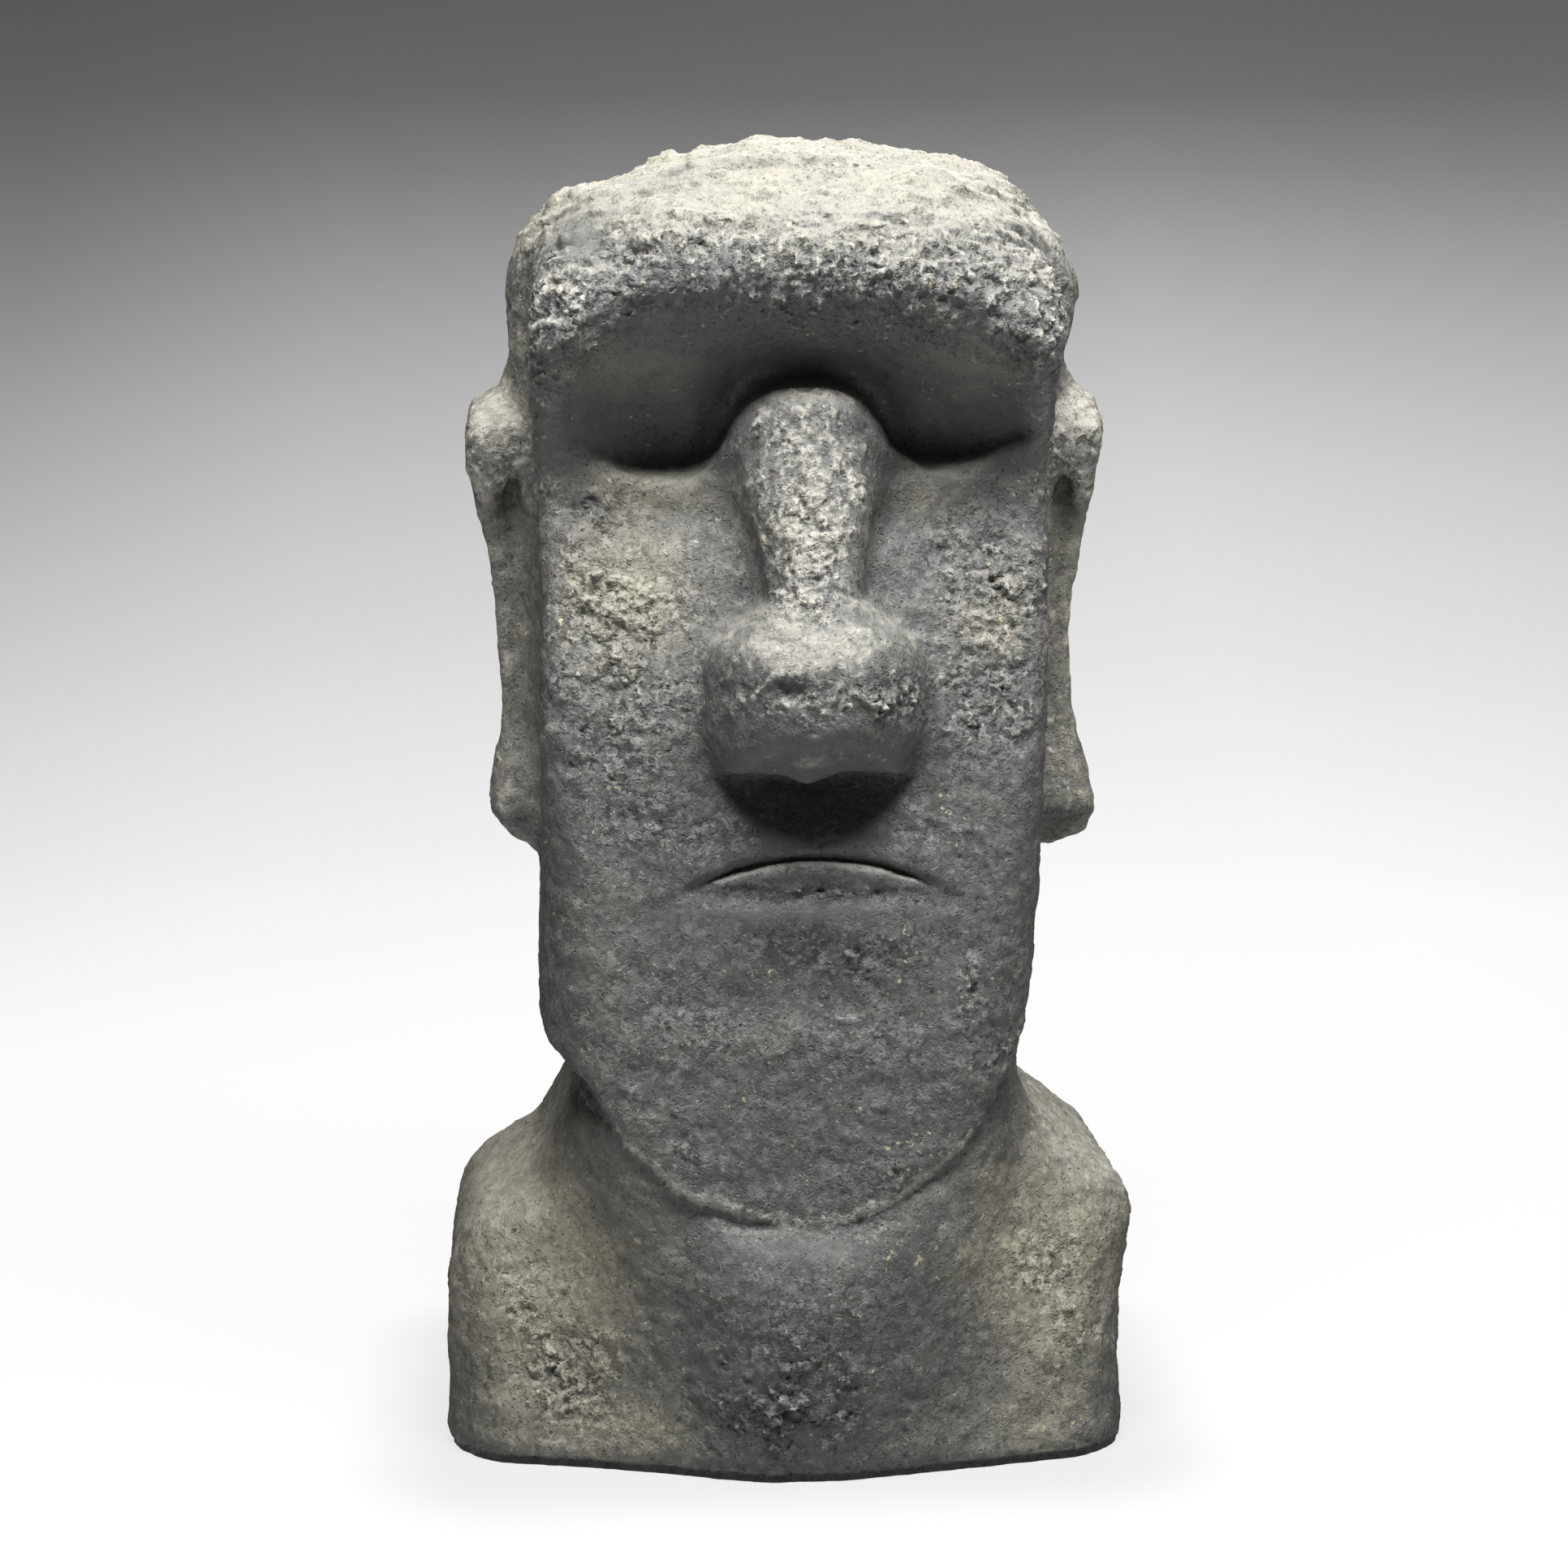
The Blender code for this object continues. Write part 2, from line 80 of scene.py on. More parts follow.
def curve(t, stations):
    """Monotone cubic through (t, value) stations, held level past the ends."""
    s = sorted(stations)
    xs = np.array([p[0] for p in s]); ys = np.array([p[1] for p in s])
    h = np.diff(xs); d = np.diff(ys) / h
    m = np.zeros(len(xs))
    for i in range(1, len(xs) - 1):
        if d[i - 1] * d[i] > 0:
            w1 = 2 * h[i] + h[i - 1]; w2 = h[i] + 2 * h[i - 1]
            m[i] = (w1 + w2) / (w1 / d[i - 1] + w2 / d[i])
    t = np.clip(t, xs[0], xs[-1])
    i = np.clip(np.searchsorted(xs, t, side="right") - 1, 0, len(h) - 1)
    u = (t - xs[i]) / h[i]
    return ((1 + 2 * u) * (1 - u) ** 2 * ys[i] + u * (1 - u) ** 2 * h[i] * m[i]
            + u * u * (3 - 2 * u) * ys[i + 1] + u * u * (u - 1) * h[i] * m[i + 1])

def plan_box(x, y, x0, x1, y0, y1, r_front, r_back):
    """Signed distance in plan to a rounded rectangle: x0..x1 by y0..y1, front is the low-y side."""
    cx, cy = (x0 + x1) / 2, (y0 + y1) / 2
    r = np.where(y < cy, r_front, r_back)
    r = np.minimum(r, np.minimum((x1 - x0) / 2, (y1 - y0) / 2) * 0.98)
    qx = np.abs(x - cx) - (x1 - x0) / 2 + r
    qy = np.abs(y - cy) - (y1 - y0) / 2 + r
    return np.hypot(np.maximum(qx, 0), np.maximum(qy, 0)) + np.minimum(np.maximum(qx, qy), 0) - r

# ---------------------------------------------------------------- named sizes, metres
HEIGHT = 0.560
NOSE_X = 0.005          # the nose and mouth sit a little to one side
GROOVE_DEPTH, GROOVE_HALF = 0.0044, 0.0015      # the mouth line
# (height, reach) stations up the piece; every width is measured from the middle plane
FACE_FRONT = [(0.095, -.1078), (0.110, -.1085), (0.125, -.1080), (0.145, -.1068), (0.165, -.1055), (0.19, -.1038), (0.225, -.1012), (0.25, -.0998), (0.28, -.0982), (0.30, -.0968), (0.315, -.0956),
              (0.33, -.0938), (0.345, -.0910), (0.36, -.0878), (0.385, -.0812), (0.41, -.0742), (0.42, -.0742), (0.430, -.0780), (0.445, -.0855), (0.460, -.0940), (0.470, -.0990), (0.480, -.1040), (0.489, -.1085), (0.497, -.1122), (0.505, -.1155),
              (0.513, -.1180), (0.520, -.1180), (0.528, -.1115), (0.537, -.1005), (0.56, -.085)]
FACE_LEFT = [(0.12, .1020), (0.16, .1065), (0.19, .1075), (0.22, .1065), (0.27, .1055), (0.33, .1055), (0.42, .1065), (0.47, .108), (0.51, .107), (0.55, .101)]
FACE_RIGHT = [(0.12, .0955), (0.16, .0985), (0.19, .0995), (0.22, .1010), (0.27, .1035), (0.33, .1045), (0.42, .1065), (0.47, .1075), (0.51, .107), (0.55, .100)]
FACE_EDGE = [(0.115, 0.066), (0.135, 0.052), (0.16, 0.042), (0.20, 0.034), (0.26, 0.022), (0.32, 0.014), (0.44, 0.012), (0.50, 0.020), (0.53, 0.03)]
SKULL_LEFT = [(0.13, .090), (0.17, .0985), (0.21, .1050), (0.26, .1065), (0.33, .1100), (0.42, .1140), (0.47, .1180), (0.51, .1190), (0.55, .110)]
SKULL_RIGHT = [(0.13, .087), (0.17, .0935), (0.21, .0985), (0.26, .1025), (0.33, .1080), (0.42, .1140), (0.465, .1180), (0.503, .1240), (0.525, .1205), (0.55, .110)]
SKULL_BACK = [(0.13, .080), (0.18, .084), (0.22, .092), (0.28, .101), (0.36, .106), (0.46, .106), (0.52, .100), (0.56, .09)]
TORSO_LEFT = [(0.0, .1490), (0.03, .1485), (0.07, .1488), (0.083, .1472), (0.092, .1430), (0.100, .1360), (0.108, .1240), (0.116, .1125), (0.127, .1050), (0.140, .0985), (0.156, .0890), (0.20, .086)]
TORSO_RIGHT = [(0.0, .1445), (0.03, .1430), (0.055, .1430), (0.075, .1450), (0.088, .1475), (0.098, .1488), (0.108, .1455), (0.122, .1305), (0.136, .1135), (0.150, .1010), (0.172, .0925), (0.20, .091)]
CHEST_FRONT = [(-.150, -.0770), (-.125, -.0838), (-.098, -.0895), (-.077, -.0946), (-.053, -.1015), (-.030, -.1100), (-.009, -.1145), (.015, -.1140), (.039, -.1095), (.0745, -.1020), (.111, -.0942), (.150, -.0860)]
EAR_OUT_L = [(0.256, .1140), (0.263, .1205), (0.276, .1285), (0.292, .1275), (0.318, .1240), (0.345, .1262), (0.38, .1285), (0.41, .1340), (0.434, .1368), (0.447, .1345), (0.456, .123)]
EAR_OUT_R = [(0.256, .1215), (0.262, .1305), (0.275, .1330), (0.292, .1300), (0.32, .1245), (0.351, .1240), (0.38, .1265), (0.41, .1300), (0.437, .1335), (0.449, .1315), (0.457, .124)]
EAR_FRONT = [(0.256, -.026), (0.275, -.037), (0.300, -.033), (0.35, -.028), (0.39, -.030), (0.415, -.040), (0.435, -.044), (0.456, -.030)]
EAR_BACK = [(0.256, .016), (0.28, .024), (0.32, .012), (0.38, .014), (0.43, .030), (0.456, .020)]
NOSE_HALF = [(0.300, .0440), (0.32, .0458), (0.343, .0452), (0.351, .0425), (0.358, .0355), (0.366, .0262), (0.374, .0200), (0.384, .0205), (0.400, .0240), (0.415, .0280), (0.440, .0305), (0.47, .030)]
NOSE_FRONT = [(0.296, -.126), (0.314, -.1305), (0.330, -.1326), (0.345, -.1322), (0.36, -.1265), (0.385, -.1160), (0.42, -.1035), (0.44, -.0985), (0.455, -.0950), (0.466, -.085)]
NOSE_ROUND = [(0.30, 0.042), (0.345, 0.038), (0.37, 0.020), (0.44, 0.028)]
NOSE_SILL = [(-.0437, .2984), (-.0362, .3004), (-.0151, .2998), (-.0039, .2962), (.0128, .3003), (.0298, .2993), (.0438, .2980)]
BROW_EDGE = [(-.100, .4720), (-.06, .4810), (-.02, .4870), (.01, .4850), (.05, .4785), (.075, .4715), (.100, .4640)]
CREASE = [(-.105, .4320), (-.084, .4255), (-.068, .4228), (-.045, .4228), (-.034, .4290), (-.024, .4400), (-.010, .4475), (.006, .4500), (.022, .4475), (.034, .4400), (.044, .4300), (.056, .4248), (.074, .4275), (.105, .4350)]
JAW_LINE = [(-0.1100, 0.1900), (-0.1020, 0.1785), (-0.0876, 0.1680), (-0.0783, 0.1528), (-0.0700, 0.1403), (-0.0620, 0.1347), (-0.0500, 0.1230), (-0.0332, 0.1174), (-0.0190, 0.1116), (-0.0045, 0.1089), (0.0101, 0.1079), (0.0220, 0.1109), (0.0342, 0.1151), (0.0462, 0.1218), (0.0621, 0.1345), (0.0747, 0.1468), (0.0837, 0.1617), (0.0915, 0.1720), (0.1020, 0.2040)]
# how far the chest stands ahead of its foot line up the middle, and the shelf under the jaw
CHEST_RISE = [(0.0, 0.0), (.0255, .0030), (.0470, .0053), (.0630, .0061), (.0740, .0059), (.0825, .0049), (.0890, .0034), (.0945, .0015), (.1000, -.0010), (.1050, -.0042), (.1100, -.0090), (.1200, -.0200)]
CROWN = [(-.135, .495), (-.1138, .5215), (-.0996, .5335), (-.0855, .5400), (-.0713, .5420), (-.0571, .5466), (-.0429, .5518), (-.0287, .5562), (-.0145, .5592),
         (.0060, .5600), (.0282, .5597), (.0425, .5572), (.0568, .5537), (.0712, .5500), (.0855, .5478), (.0987, .5412), (.1131, .5295), (.135, .500)]

def top_surface(x, y):
    t = curve(x, CROWN)
    # in front of the crest the crown evens out into one broad slope that steps down to the brow
    w = step(0.020, -0.050, y)
    t = t * (1 - w) + w * (0.5585 - 1.7 * x ** 2 - 75.0 * x ** 4)
    drop = 0.17 * np.maximum(0, -(y - 0.010)) + 0.22 * np.maximum(0, -(y + 0.045)) + 0.75 * np.maximum(0, -(y + 0.096))
    shelf = 0.0035 * bump(y, -0.052, 0.016) * bump(x, 0.004, 0.06)
    return t - drop + shelf - 0.06 * np.maximum(0, y - 0.03) - 0.25 * np.maximum(0, y - 0.075)

def jaw_bottom(x, y):
    rise = step(-0.09, 0.06, x)          # the jaw runs back level on the left and climbs on the right
    return curve(x, JAW_LINE) + (0.04 + 0.41 * rise) * np.maximum(0, y + 0.075) + 0.06 * np.maximum(0, y + 0.100) + (0.50 - 0.25 * rise) * np.maximum(0, y + 0.02)

def mouth_line(u):
    return 0.2636 - 0.0118 * (np.abs(u) / 0.0500) ** 2.2

def relief(x, z):
    """How far the carved lips and chin hollow stand forward of the plain face, in metres."""
    u = x - NOSE_X - 0.0015
    zm = mouth_line(np.minimum(np.abs(u), 0.060))
    low = 0.2482 + 0.0006 * (u / 0.05) ** 2
    gap = np.maximum(zm - low, 0.0035)
    s = (z - low) / gap
    ends = step(0.058, 0.024, np.abs(u))
    lip = 0.0034 * step(-0.30, 0.70, s) * (1 - 0.35 * step(0.60, 1.0, s)) * step(zm + 0.0025, zm + 0.0005, z) * ends
    upper = (0.0024 * step(zm + 0.0005, zm + 0.0045, z) + 0.0008 * step(zm - 0.001, zm + 0.001, z)) * step(zm + 0.034, zm + 0.004, z) * step(0.080, 0.034, np.abs(u))
    under = 0.0034 * step(low + 0.0030, low - 0.0070, z) * step(low - 0.055, low - 0.014, z) * step(0.070, 0.026, np.abs(u))
    pocket = -0.0125 * bump(z, 0.2950, 0.0150) * bump(u, 0.0, 0.024 + 0.30 * np.clip(z - 0.275, 0, 0.03))
    return lip + upper + under + pocket

def mouth_groove(x, z):
    """Depth of the groove cut along the mouth line, fading toward its corners."""
    u = x - NOSE_X - 0.0015
    fade = step(0.0520, 0.0300, np.abs(u))
    return GROOVE_DEPTH * bump(z, mouth_line(np.minimum(np.abs(u), 0.060)), GROOVE_HALF * (0.6 + 0.4 * fade)) * fade

def chest_relief(x, z):
    """Extra forward reach of the chest over its line at the foot; the shelf under the jaw follows the jaw's line."""
    ax = np.abs(x)
    lift = (np.minimum(curve(x, JAW_LINE), 0.150) - 0.1050) * step(0.010, 0.045, ax)
    rise = curve(z - lift, CHEST_RISE)
    r = np.where(rise > 0, rise * bump(x, 0.0, 0.062), rise * step(0.100, 0.072, ax))
    return r - 0.0035 * (bump(x, -0.082, 0.026) + bump(x, 0.086, 0.026)) * step(0.0, 0.05, z)

def dish(x, y, z, centre, radius):
    cx, cy, cz = centre
    return np.sqrt((x - cx) ** 2 + (y - cy) ** 2 + (z - cz) ** 2) - radius

def field(x, y, z):
    ax = np.abs(x)
    # torso and shoulders
    left, right = curve(z, TORSO_LEFT), curve(z, TORSO_RIGHT)
    foot = step(0.010, 0.0, z)
    front = curve(x, CHEST_FRONT) + (0.10 * np.maximum(0, z - 0.060) + 0.13 * z) * step(0.055, 0.115, ax) + 0.0012 * foot
    front = front - chest_relief(x, z)
    # the chest comes up to the jaw's edge with a soft collar
    line = curve(x, JAW_LINE)
    r = curve(line, FACE_EDGE)
    over = np.clip(ax - np.where(x < 0, curve(line, FACE_LEFT), curve(line, FACE_RIGHT)) + r, 0, r)
    rim = curve(line, FACE_FRONT) + r - np.sqrt(r * r - over * over)
    front = front + np.minimum(0, rim + 0.0036 - front) * np.exp(-(np.maximum(line - z, 0) / 0.042) ** 2) * step(0.110, 0.088, ax)
    back = 0.108 - 0.20 * np.maximum(0, z - 0.08) - 0.004 * foot
    torso = plan_box(x, y, -left + 0.0012 * foot, right - 0.0012 * foot, front, back, 0.026, 0.036)
    neck = plan_box(x, y, -0.0900, 0.0940, -0.078, 0.084 + 0 * z, 0.035, 0.045)
    neck = smax(neck, z - 0.30, 0.01)
    torso = smax(torso, z - 0.20, 0.02)
    body = smin(torso, neck, 0.016)
    body = smax(body, -0.012 - z, 0.002)
    # head: a front mask and a slightly wider skull behind it
    yf = y + relief(x, z) * step(-0.05, -0.07, y)
    lift = (0.0070 * bump(x, -0.048, 0.030) - 0.0050 * bump(x, 0.070, 0.030)) * step(0.44, 0.47, z)      # the brow hangs lower on the right
    f = curve(z - lift, FACE_FRONT) - 0.0110 * bump(z, 0.474, 0.020) * step(0.066, 0.098, ax)
    mask = plan_box(x, yf, -curve(z, FACE_LEFT), curve(z, FACE_RIGHT), f, 0.03 + 0 * f, curve(z, FACE_EDGE), 0.01)
    skull = plan_box(x, y, -curve(z, SKULL_LEFT), curve(z, SKULL_RIGHT), -0.046 + 0 * f, curve(z, SKULL_BACK), 0.020, 0.048)
    head = smin(mask, skull, 0.008)
    head = smax(head, (z - top_surface(x, y)) * 0.93, 0.016)
    head = smax(head, (jaw_bottom(x, y) - z) * 0.85, 0.006)
    # eye sockets cut under the brow
    u = x - 0.003
    au = np.abs(u)
    zb, zc = curve(x, BROW_EDGE), curve(x, CREASE)
    yc = -0.0540 - 0.014 * step(0.055, 0.095, au)
    dy, dz = 0.1115 + yc, zb - zc
    t = np.clip((z - zc) / dz, 0.0, 1.6)      # the hollow's roof stands upright at the crease and curls over to the brow
    d_up = (y - yc + dy * t ** 1.6) / np.sqrt(1 + (1.6 * dy / dz * t ** 0.6) ** 2)
    d_low = (zc - 0.24 * (yc - y) - z) * 0.972
    cut = smax(d_up, d_low, 0.005)
    cut = smax(cut, (au - 0.0975) * 0.8, 0.020)
    head = smax(head, -cut, 0.007)
    # nose
    wn, yn = curve(z, NOSE_HALF), curve(z, NOSE_FRONT)
    nx = x - NOSE_X - 0.0015 * step(0.40, 0.35, z)
    nose = plan_box(nx, y, -wn, wn, yn, -0.03 + 0 * wn, curve(z, NOSE_ROUND), 0.005)
    nose = smax(nose, (z - 0.4550 - 0.20 * (y + 0.09) + 9 * nx ** 2 + 9000 * nx ** 4) * 0.8, 0.009)
    sill = curve(nx, NOSE_SILL)
    zu = sill + np.maximum(-0.109 - y, -0.004) * 0.82 * (1 - 0.72 * np.minimum(1, (nx / 0.046) ** 2))
    nose = smax(nose, (zu - z) * 0.65, 0.0035)
    nose = smax(nose, (sill + 0.10 * (y + 0.110) - z) * 0.99, 0.003)
    head = smin(head, nose, 0.006 + 0.010 * step(0.350, 0.375, z))
    # ears
    out = np.where(x < 0, curve(z, EAR_OUT_L), curve(z, EAR_OUT_R))
    ear = plan_box(ax, y, 0.08 + 0 * out, out, curve(z, EAR_FRONT), curve(z, EAR_BACK), 0.008, 0.012)
    ear = smax(ear, (z - 0.4585 - 0.25 * (0.1365 - ax)) * 0.95, 0.010)
    ear = smax(ear, 0.2555 - z, 0.008)
    # the hollow between the ear's rim and the head's side, and the one on its front
    cz = np.clip(z, 0.305, 0.405)
    chan = np.sqrt(((y + 0.006) / 0.016) ** 2 + ((z - cz) / 0.024) ** 2) - 1
    chan = smax(chan * 0.012, (out - 0.0055 - ax), 0.004)
    ear = smax(ear, -chan, 0.004)
    cz = np.clip(z, 0.318, 0.404)
    hollow = np.sqrt((ax - 0.1165) ** 2 + (y + 0.0345) ** 2 + ((z - cz) * 0.35) ** 2) - 0.0052
    ear = smax(ear, -hollow, 0.006)
    head = smin(head, ear, 0.006)
    # broad tool hollows
    for centre, radius, k in HOLLOWS:
        head = smax(head, -dish(x, y, z, centre, radius), k)
    return smin(body, head, 0.0070)

# (centre of the tool's sweep, its radius, softness of the edge)
HOLLOWS = [((-.0985, -.1240, .5420), .0300, .004), ((.004, -.1390, .5250), .0280, .006), ((-.045, -.1330, .5330), .0270, .006)]

# ---------------------------------------------------------------- mesher
def surface_nets(F, origin, h):
    ins = F < 0
    n = np.zeros(tuple(s - 1 for s in F.shape), np.int8)
    for i in (0, 1):
        for j in (0, 1):
            for k in (0, 1):
                n += ins[i:F.shape[0] - 1 + i, j:F.shape[1] - 1 + j, k:F.shape[2] - 1 + k]
    act = (n > 0) & (n < 8)
    ci, cj, ck = np.nonzero(act)
    idx = -np.ones(act.shape, np.int64)
    idx[act] = np.arange(len(ci))
    pos = np.zeros((len(ci), 3)); cnt = np.zeros(len(ci))
    corners = [(i, j, k) for i in (0, 1) for j in (0, 1) for k in (0, 1)]
    val = {c: F[ci + c[0], cj + c[1], ck + c[2]] for c in corners}
    for a in corners:
        for ax in range(3):
            if a[ax] == 0:
                b = list(a); b[ax] = 1; b = tuple(b)
                va, vb = val[a], val[b]
                m = (va < 0) != (vb < 0)
                t = va[m] / (va[m] - vb[m])
                p = np.tile(np.array(a, float), (m.sum(), 1)); p[:, ax] = t
                pos[m] += p; cnt[m] += 1
    pos /= cnt[:, None]
    verts = (np.stack([ci, cj, ck], 1) + pos) * h + np.array(origin)
    quads = []
    for ax in range(3):
        a, b = [(1, 2), (2, 0), (0, 1)][ax]
        sl0 = [slice(None)] * 3; sl1 = [slice(None)] * 3
        sl0[ax] = slice(0, -1); sl1[ax] = slice(1, None)
        for s in (sl0, sl1):
            s[a] = slice(1, -1); s[b] = slice(1, -1)
        i0, i1 = ins[tuple(sl0)], ins[tuple(sl1)]
        for flip, m in ((False, i0 & ~i1), (True, ~i0 & i1)):
            g = np.stack(np.nonzero(m), 1)
            g[:, a] += 1; g[:, b] += 1
            def cell(da, db):
                c = g.copy(); c[:, a] += da; c[:, b] += db
                return idx[c[:, 0], c[:, 1], c[:, 2]]
            q = np.stack([cell(-1, -1), cell(0, -1), cell(0, 0), cell(-1, 0)], 1)
            quads.append(q[:, ::-1] if flip else q)
    return verts, np.concatenate(quads)

def gradient(p, e=0.0006):
    g = np.empty_like(p)
    for i in range(3):
        d = np.zeros(3); d[i] = e
        a, b = p + d, p - d
        g[:, i] = (field(*a.T) - field(*b.T)) / (2 * e)
    return g

def project(p, reach, rounds=2):
    for _ in range(rounds):
        f = field(*p.T); g = gradient(p)
        s = -f / np.maximum((g ** 2).sum(1), 0.05)
        mv = g * s[:, None]
        l = np.linalg.norm(mv, axis=1)
        mv *= np.minimum(1, reach / np.maximum(l, 1e-12))[:, None]
        p = p + mv
    return p

# ---------------------------------------------------------------- the fine mesh
def grid_mesh(h):
    lo = np.array([-0.168, -0.168, -0.012]); hi = np.array([0.168, 0.132, 0.576])
    axes = [np.arange(lo[i], hi[i] + h, h) for i in range(3)]
    X, Y, Z = np.meshgrid(*axes, indexing="ij", sparse=False)
    f = smax(field(X, Y, Z), -0.0005 - Z, 0.001)
    v, q = surface_nets(f, lo, h)
    low = v[:, 2] < 0.004
    p = project(v, h * 0.7)
    p[low, 2] = v[low, 2]
    return p, q

def quarter(v, q):
    """Each four-sided face becomes four, with shared middles."""
    e = np.concatenate([q[:, [0, 1]], q[:, [1, 2]], q[:, [2, 3]], q[:, [3, 0]]])
    e.sort(axis=1)
    keys, inv = np.unique(e[:, 0].astype(np.int64) * len(v) + e[:, 1], return_inverse=True)
    mid = (v[keys // len(v)] + v[keys % len(v)]) / 2
    n = len(q)
    ab, bc, cd, da = inv.reshape(4, n) + len(v)
    o = len(v) + len(keys) + np.arange(n)
    a, b, c, d = q.T
    faces = np.concatenate([np.stack(s, 1) for s in ((a, ab, o, da), (ab, b, bc, o), (o, bc, c, cd), (da, o, cd, d))])
    return np.concatenate([v, mid, v[q].mean(1)]), faces

def textures(points, layers):
    """Noise and cell patterns read at points.  A layer is (kind, scale per metre, detail, roughness, distortion, seed, output)."""
    me = bpy.data.meshes.new("probe")
    me.vertices.add(len(points))
    me.vertices.foreach_set("co", points.astype(np.float32).ravel())
    ob = bpy.data.objects.new("probe", me)
    bpy.context.scene.collection.objects.link(ob)
    tree = bpy.data.node_groups.new("probe", "GeometryNodeTree")
    tree.interface.new_socket("Geometry", in_out="INPUT", socket_type="NodeSocketGeometry")
    tree.interface.new_socket("Geometry", in_out="OUTPUT", socket_type="NodeSocketGeometry")
    flow = tree.nodes.new("NodeGroupInput").outputs[0]
    place = tree.nodes.new("GeometryNodeInputPosition").outputs[0]
    for i, (kind, scale, detail, rough, distort, seed, output) in enumerate(layers):
        shift = tree.nodes.new("ShaderNodeVectorMath"); shift.operation = "ADD"
        shift.inputs[1].default_value = (0.731 * seed, 0.417 * seed, 0.293 * seed)
        tree.links.new(place, shift.inputs[0])
        t = tree.nodes.new("ShaderNodeTexVoronoi" if kind.startswith("cell") else "ShaderNodeTexNoise")
        tree.links.new(shift.outputs[0], t.inputs["Vector"])
        t.inputs["Scale"].default_value = scale
        if kind.startswith("cell"):
            t.feature = {"cell": "F1", "cell_edge": "DISTANCE_TO_EDGE"}[kind]
        else:
            t.inputs["Detail"].default_value = detail
            t.inputs["Roughness"].default_value = rough
            t.inputs["Distortion"].default_value = distort
        store = tree.nodes.new("GeometryNodeStoreNamedAttribute")
        vector = output in ("Color", "Position")
        store.data_type = "FLOAT_VECTOR" if vector else "FLOAT"
        store.domain = "POINT"
        store.inputs["Name"].default_value = "t%d" % i
        value = [s for s in store.inputs if s.name == "Value" and s.enabled][0]
        tree.links.new(flow, store.inputs["Geometry"])
        tree.links.new(t.outputs[output], value)
        flow = store.outputs[0]
    tree.links.new(flow, tree.nodes.new("NodeGroupOutput").inputs[0])
    ob.modifiers.new("probe", "NODES").node_group = tree
    done = ob.evaluated_get(bpy.context.evaluated_depsgraph_get()).data
    found = []
    for i, layer in enumerate(layers):
        if layer[6] in ("Color", "Position"):
            a = np.empty(len(points) * 3, np.float32)
            done.attributes["t%d" % i].data.foreach_get("vector", a)
            a = a.reshape(-1, 3).astype(float)
            found.append(a - layer[5] * np.array([0.731, 0.417, 0.293]) if layer[6] == "Position" else a)
        else:
            a = np.empty(len(points), np.float32)
            done.attributes["t%d" % i].data.foreach_get("value", a)
            found.append(a.astype(float))
    bpy.data.objects.remove(ob)
    bpy.data.meshes.remove(me)
    bpy.data.node_groups.remove(tree)
    return found

def even(a):
    """Noise spread to about -1..1."""
    return np.clip((a - a.mean()) / (2.0 * a.std()), -1.25, 1.25)

def terraces(a, size, sharp, slant=0.25):
    """Steps of one size with steep sides, that keep a little of the slope between them."""
    t = a / size
    f = np.floor(t)
    r = t - f
    k = np.clip((r - 0.5) * sharp + 0.5, 0, 1)
    return size * (f + (1 - slant) * (k * k * (3 - 2 * k)) + slant * r)

# ---------------------------------------------------------------- where the surface is torn, and where it is smooth
# (x, z, reach across, reach up, how much): places on the front
TORN = [(-.0775, .3665, .024, .018, .80), (-.0745, .3280, .030, .030, .55), (-.0790, .4080, .014, .008, .65), (-.0900, .3900, .012, .02, .35),
        (.0840, .3740, .024, .020, .85), (.0800, .3300, .026, .028, .60), (.0700, .3960, .020, .014, .35),
        (.0030, .3950, .020, .028, .60), (.0020, .3730, .016, .010, .40), (-.0040, .3350, .034, .012, .50), (.0360, .3330, .012, .012, .70),
        (-.0416, .2735, .022, .010, .50), (-.0680, .2850, .020, .02, .30), (.0500, .2760, .018, .008, .30), (.0047, .2500, .042, .0040, .60),
        (.0016, .2290, .030, .010, .35), (.0300, .2210, .020, .008, .45), (.0348, .1316, .015, .011, .45), (-.0442, .1400, .013, .010, .35),
        (.0712, .2094, .006, .030, .35), (.0850, .1800, .010, .03, .35), (.0045, .0587, .034, .028, .42), (-.0125, .0308, .034, .016, .60), (-.0972, .0400, .024, .022, .70),
        (-.1220, .1234, .012, .008, .70), (-.1174, .0753, .020, .02, .35), (.1057, .0867, .014, .016, .50), (.1200, .0600, .02, .03, .30), (-.0500, .1930, .03, .02, .30), (.0300, .1850, .03, .02, .25)]
SMOOTH = [(.0040, .3520, .042, .0120, .70), (.0040, .2415, .050, .0060, .95), (.0030, .3610, .034, .0065, .55), (-.0878, .5150, .011, .011, .95), (-.0450, .4000, .012, .020, .60), (.0450, .4000, .010, .016, .50),
          (.0040, .1010, .048, .0075, .90), (-.0600, .2380, .020, .012, .50), (.0750, .1130, .020, .012, .40), (-.0650, .1080, .020, .012, .40), (0.0, .4480, .060, .020, .85)]

# where the paint is olive (1) and where it is blue-grey (0)
OLIVE = [(-.0720, .3680, .036, .040, .68), (.0780, .3680, .030, .038, .34), (-.0600, .4150, .035, .012, .50), (.0600, .4150, .035, .012, .40), (-.1100, .0800, .052, .066, 1.0), (.1080, .0850, .048, .066, .90),
         (-.0850, .2000, .020, .050, .20), (.0950, .2200, .012, .060, .20), (0.0, .5350, .110, .022, .50), (-.0700, .4650, .030, .016, .55), (.0700, .4650, .030, .016, .35), 
         (.0, .3900, .020, .030, .30), (-.0200, .1850, .030, .020, .20), (.0950, .0150, .04, .012, .4), (-.0750, .0200, .05, .015, .5)]

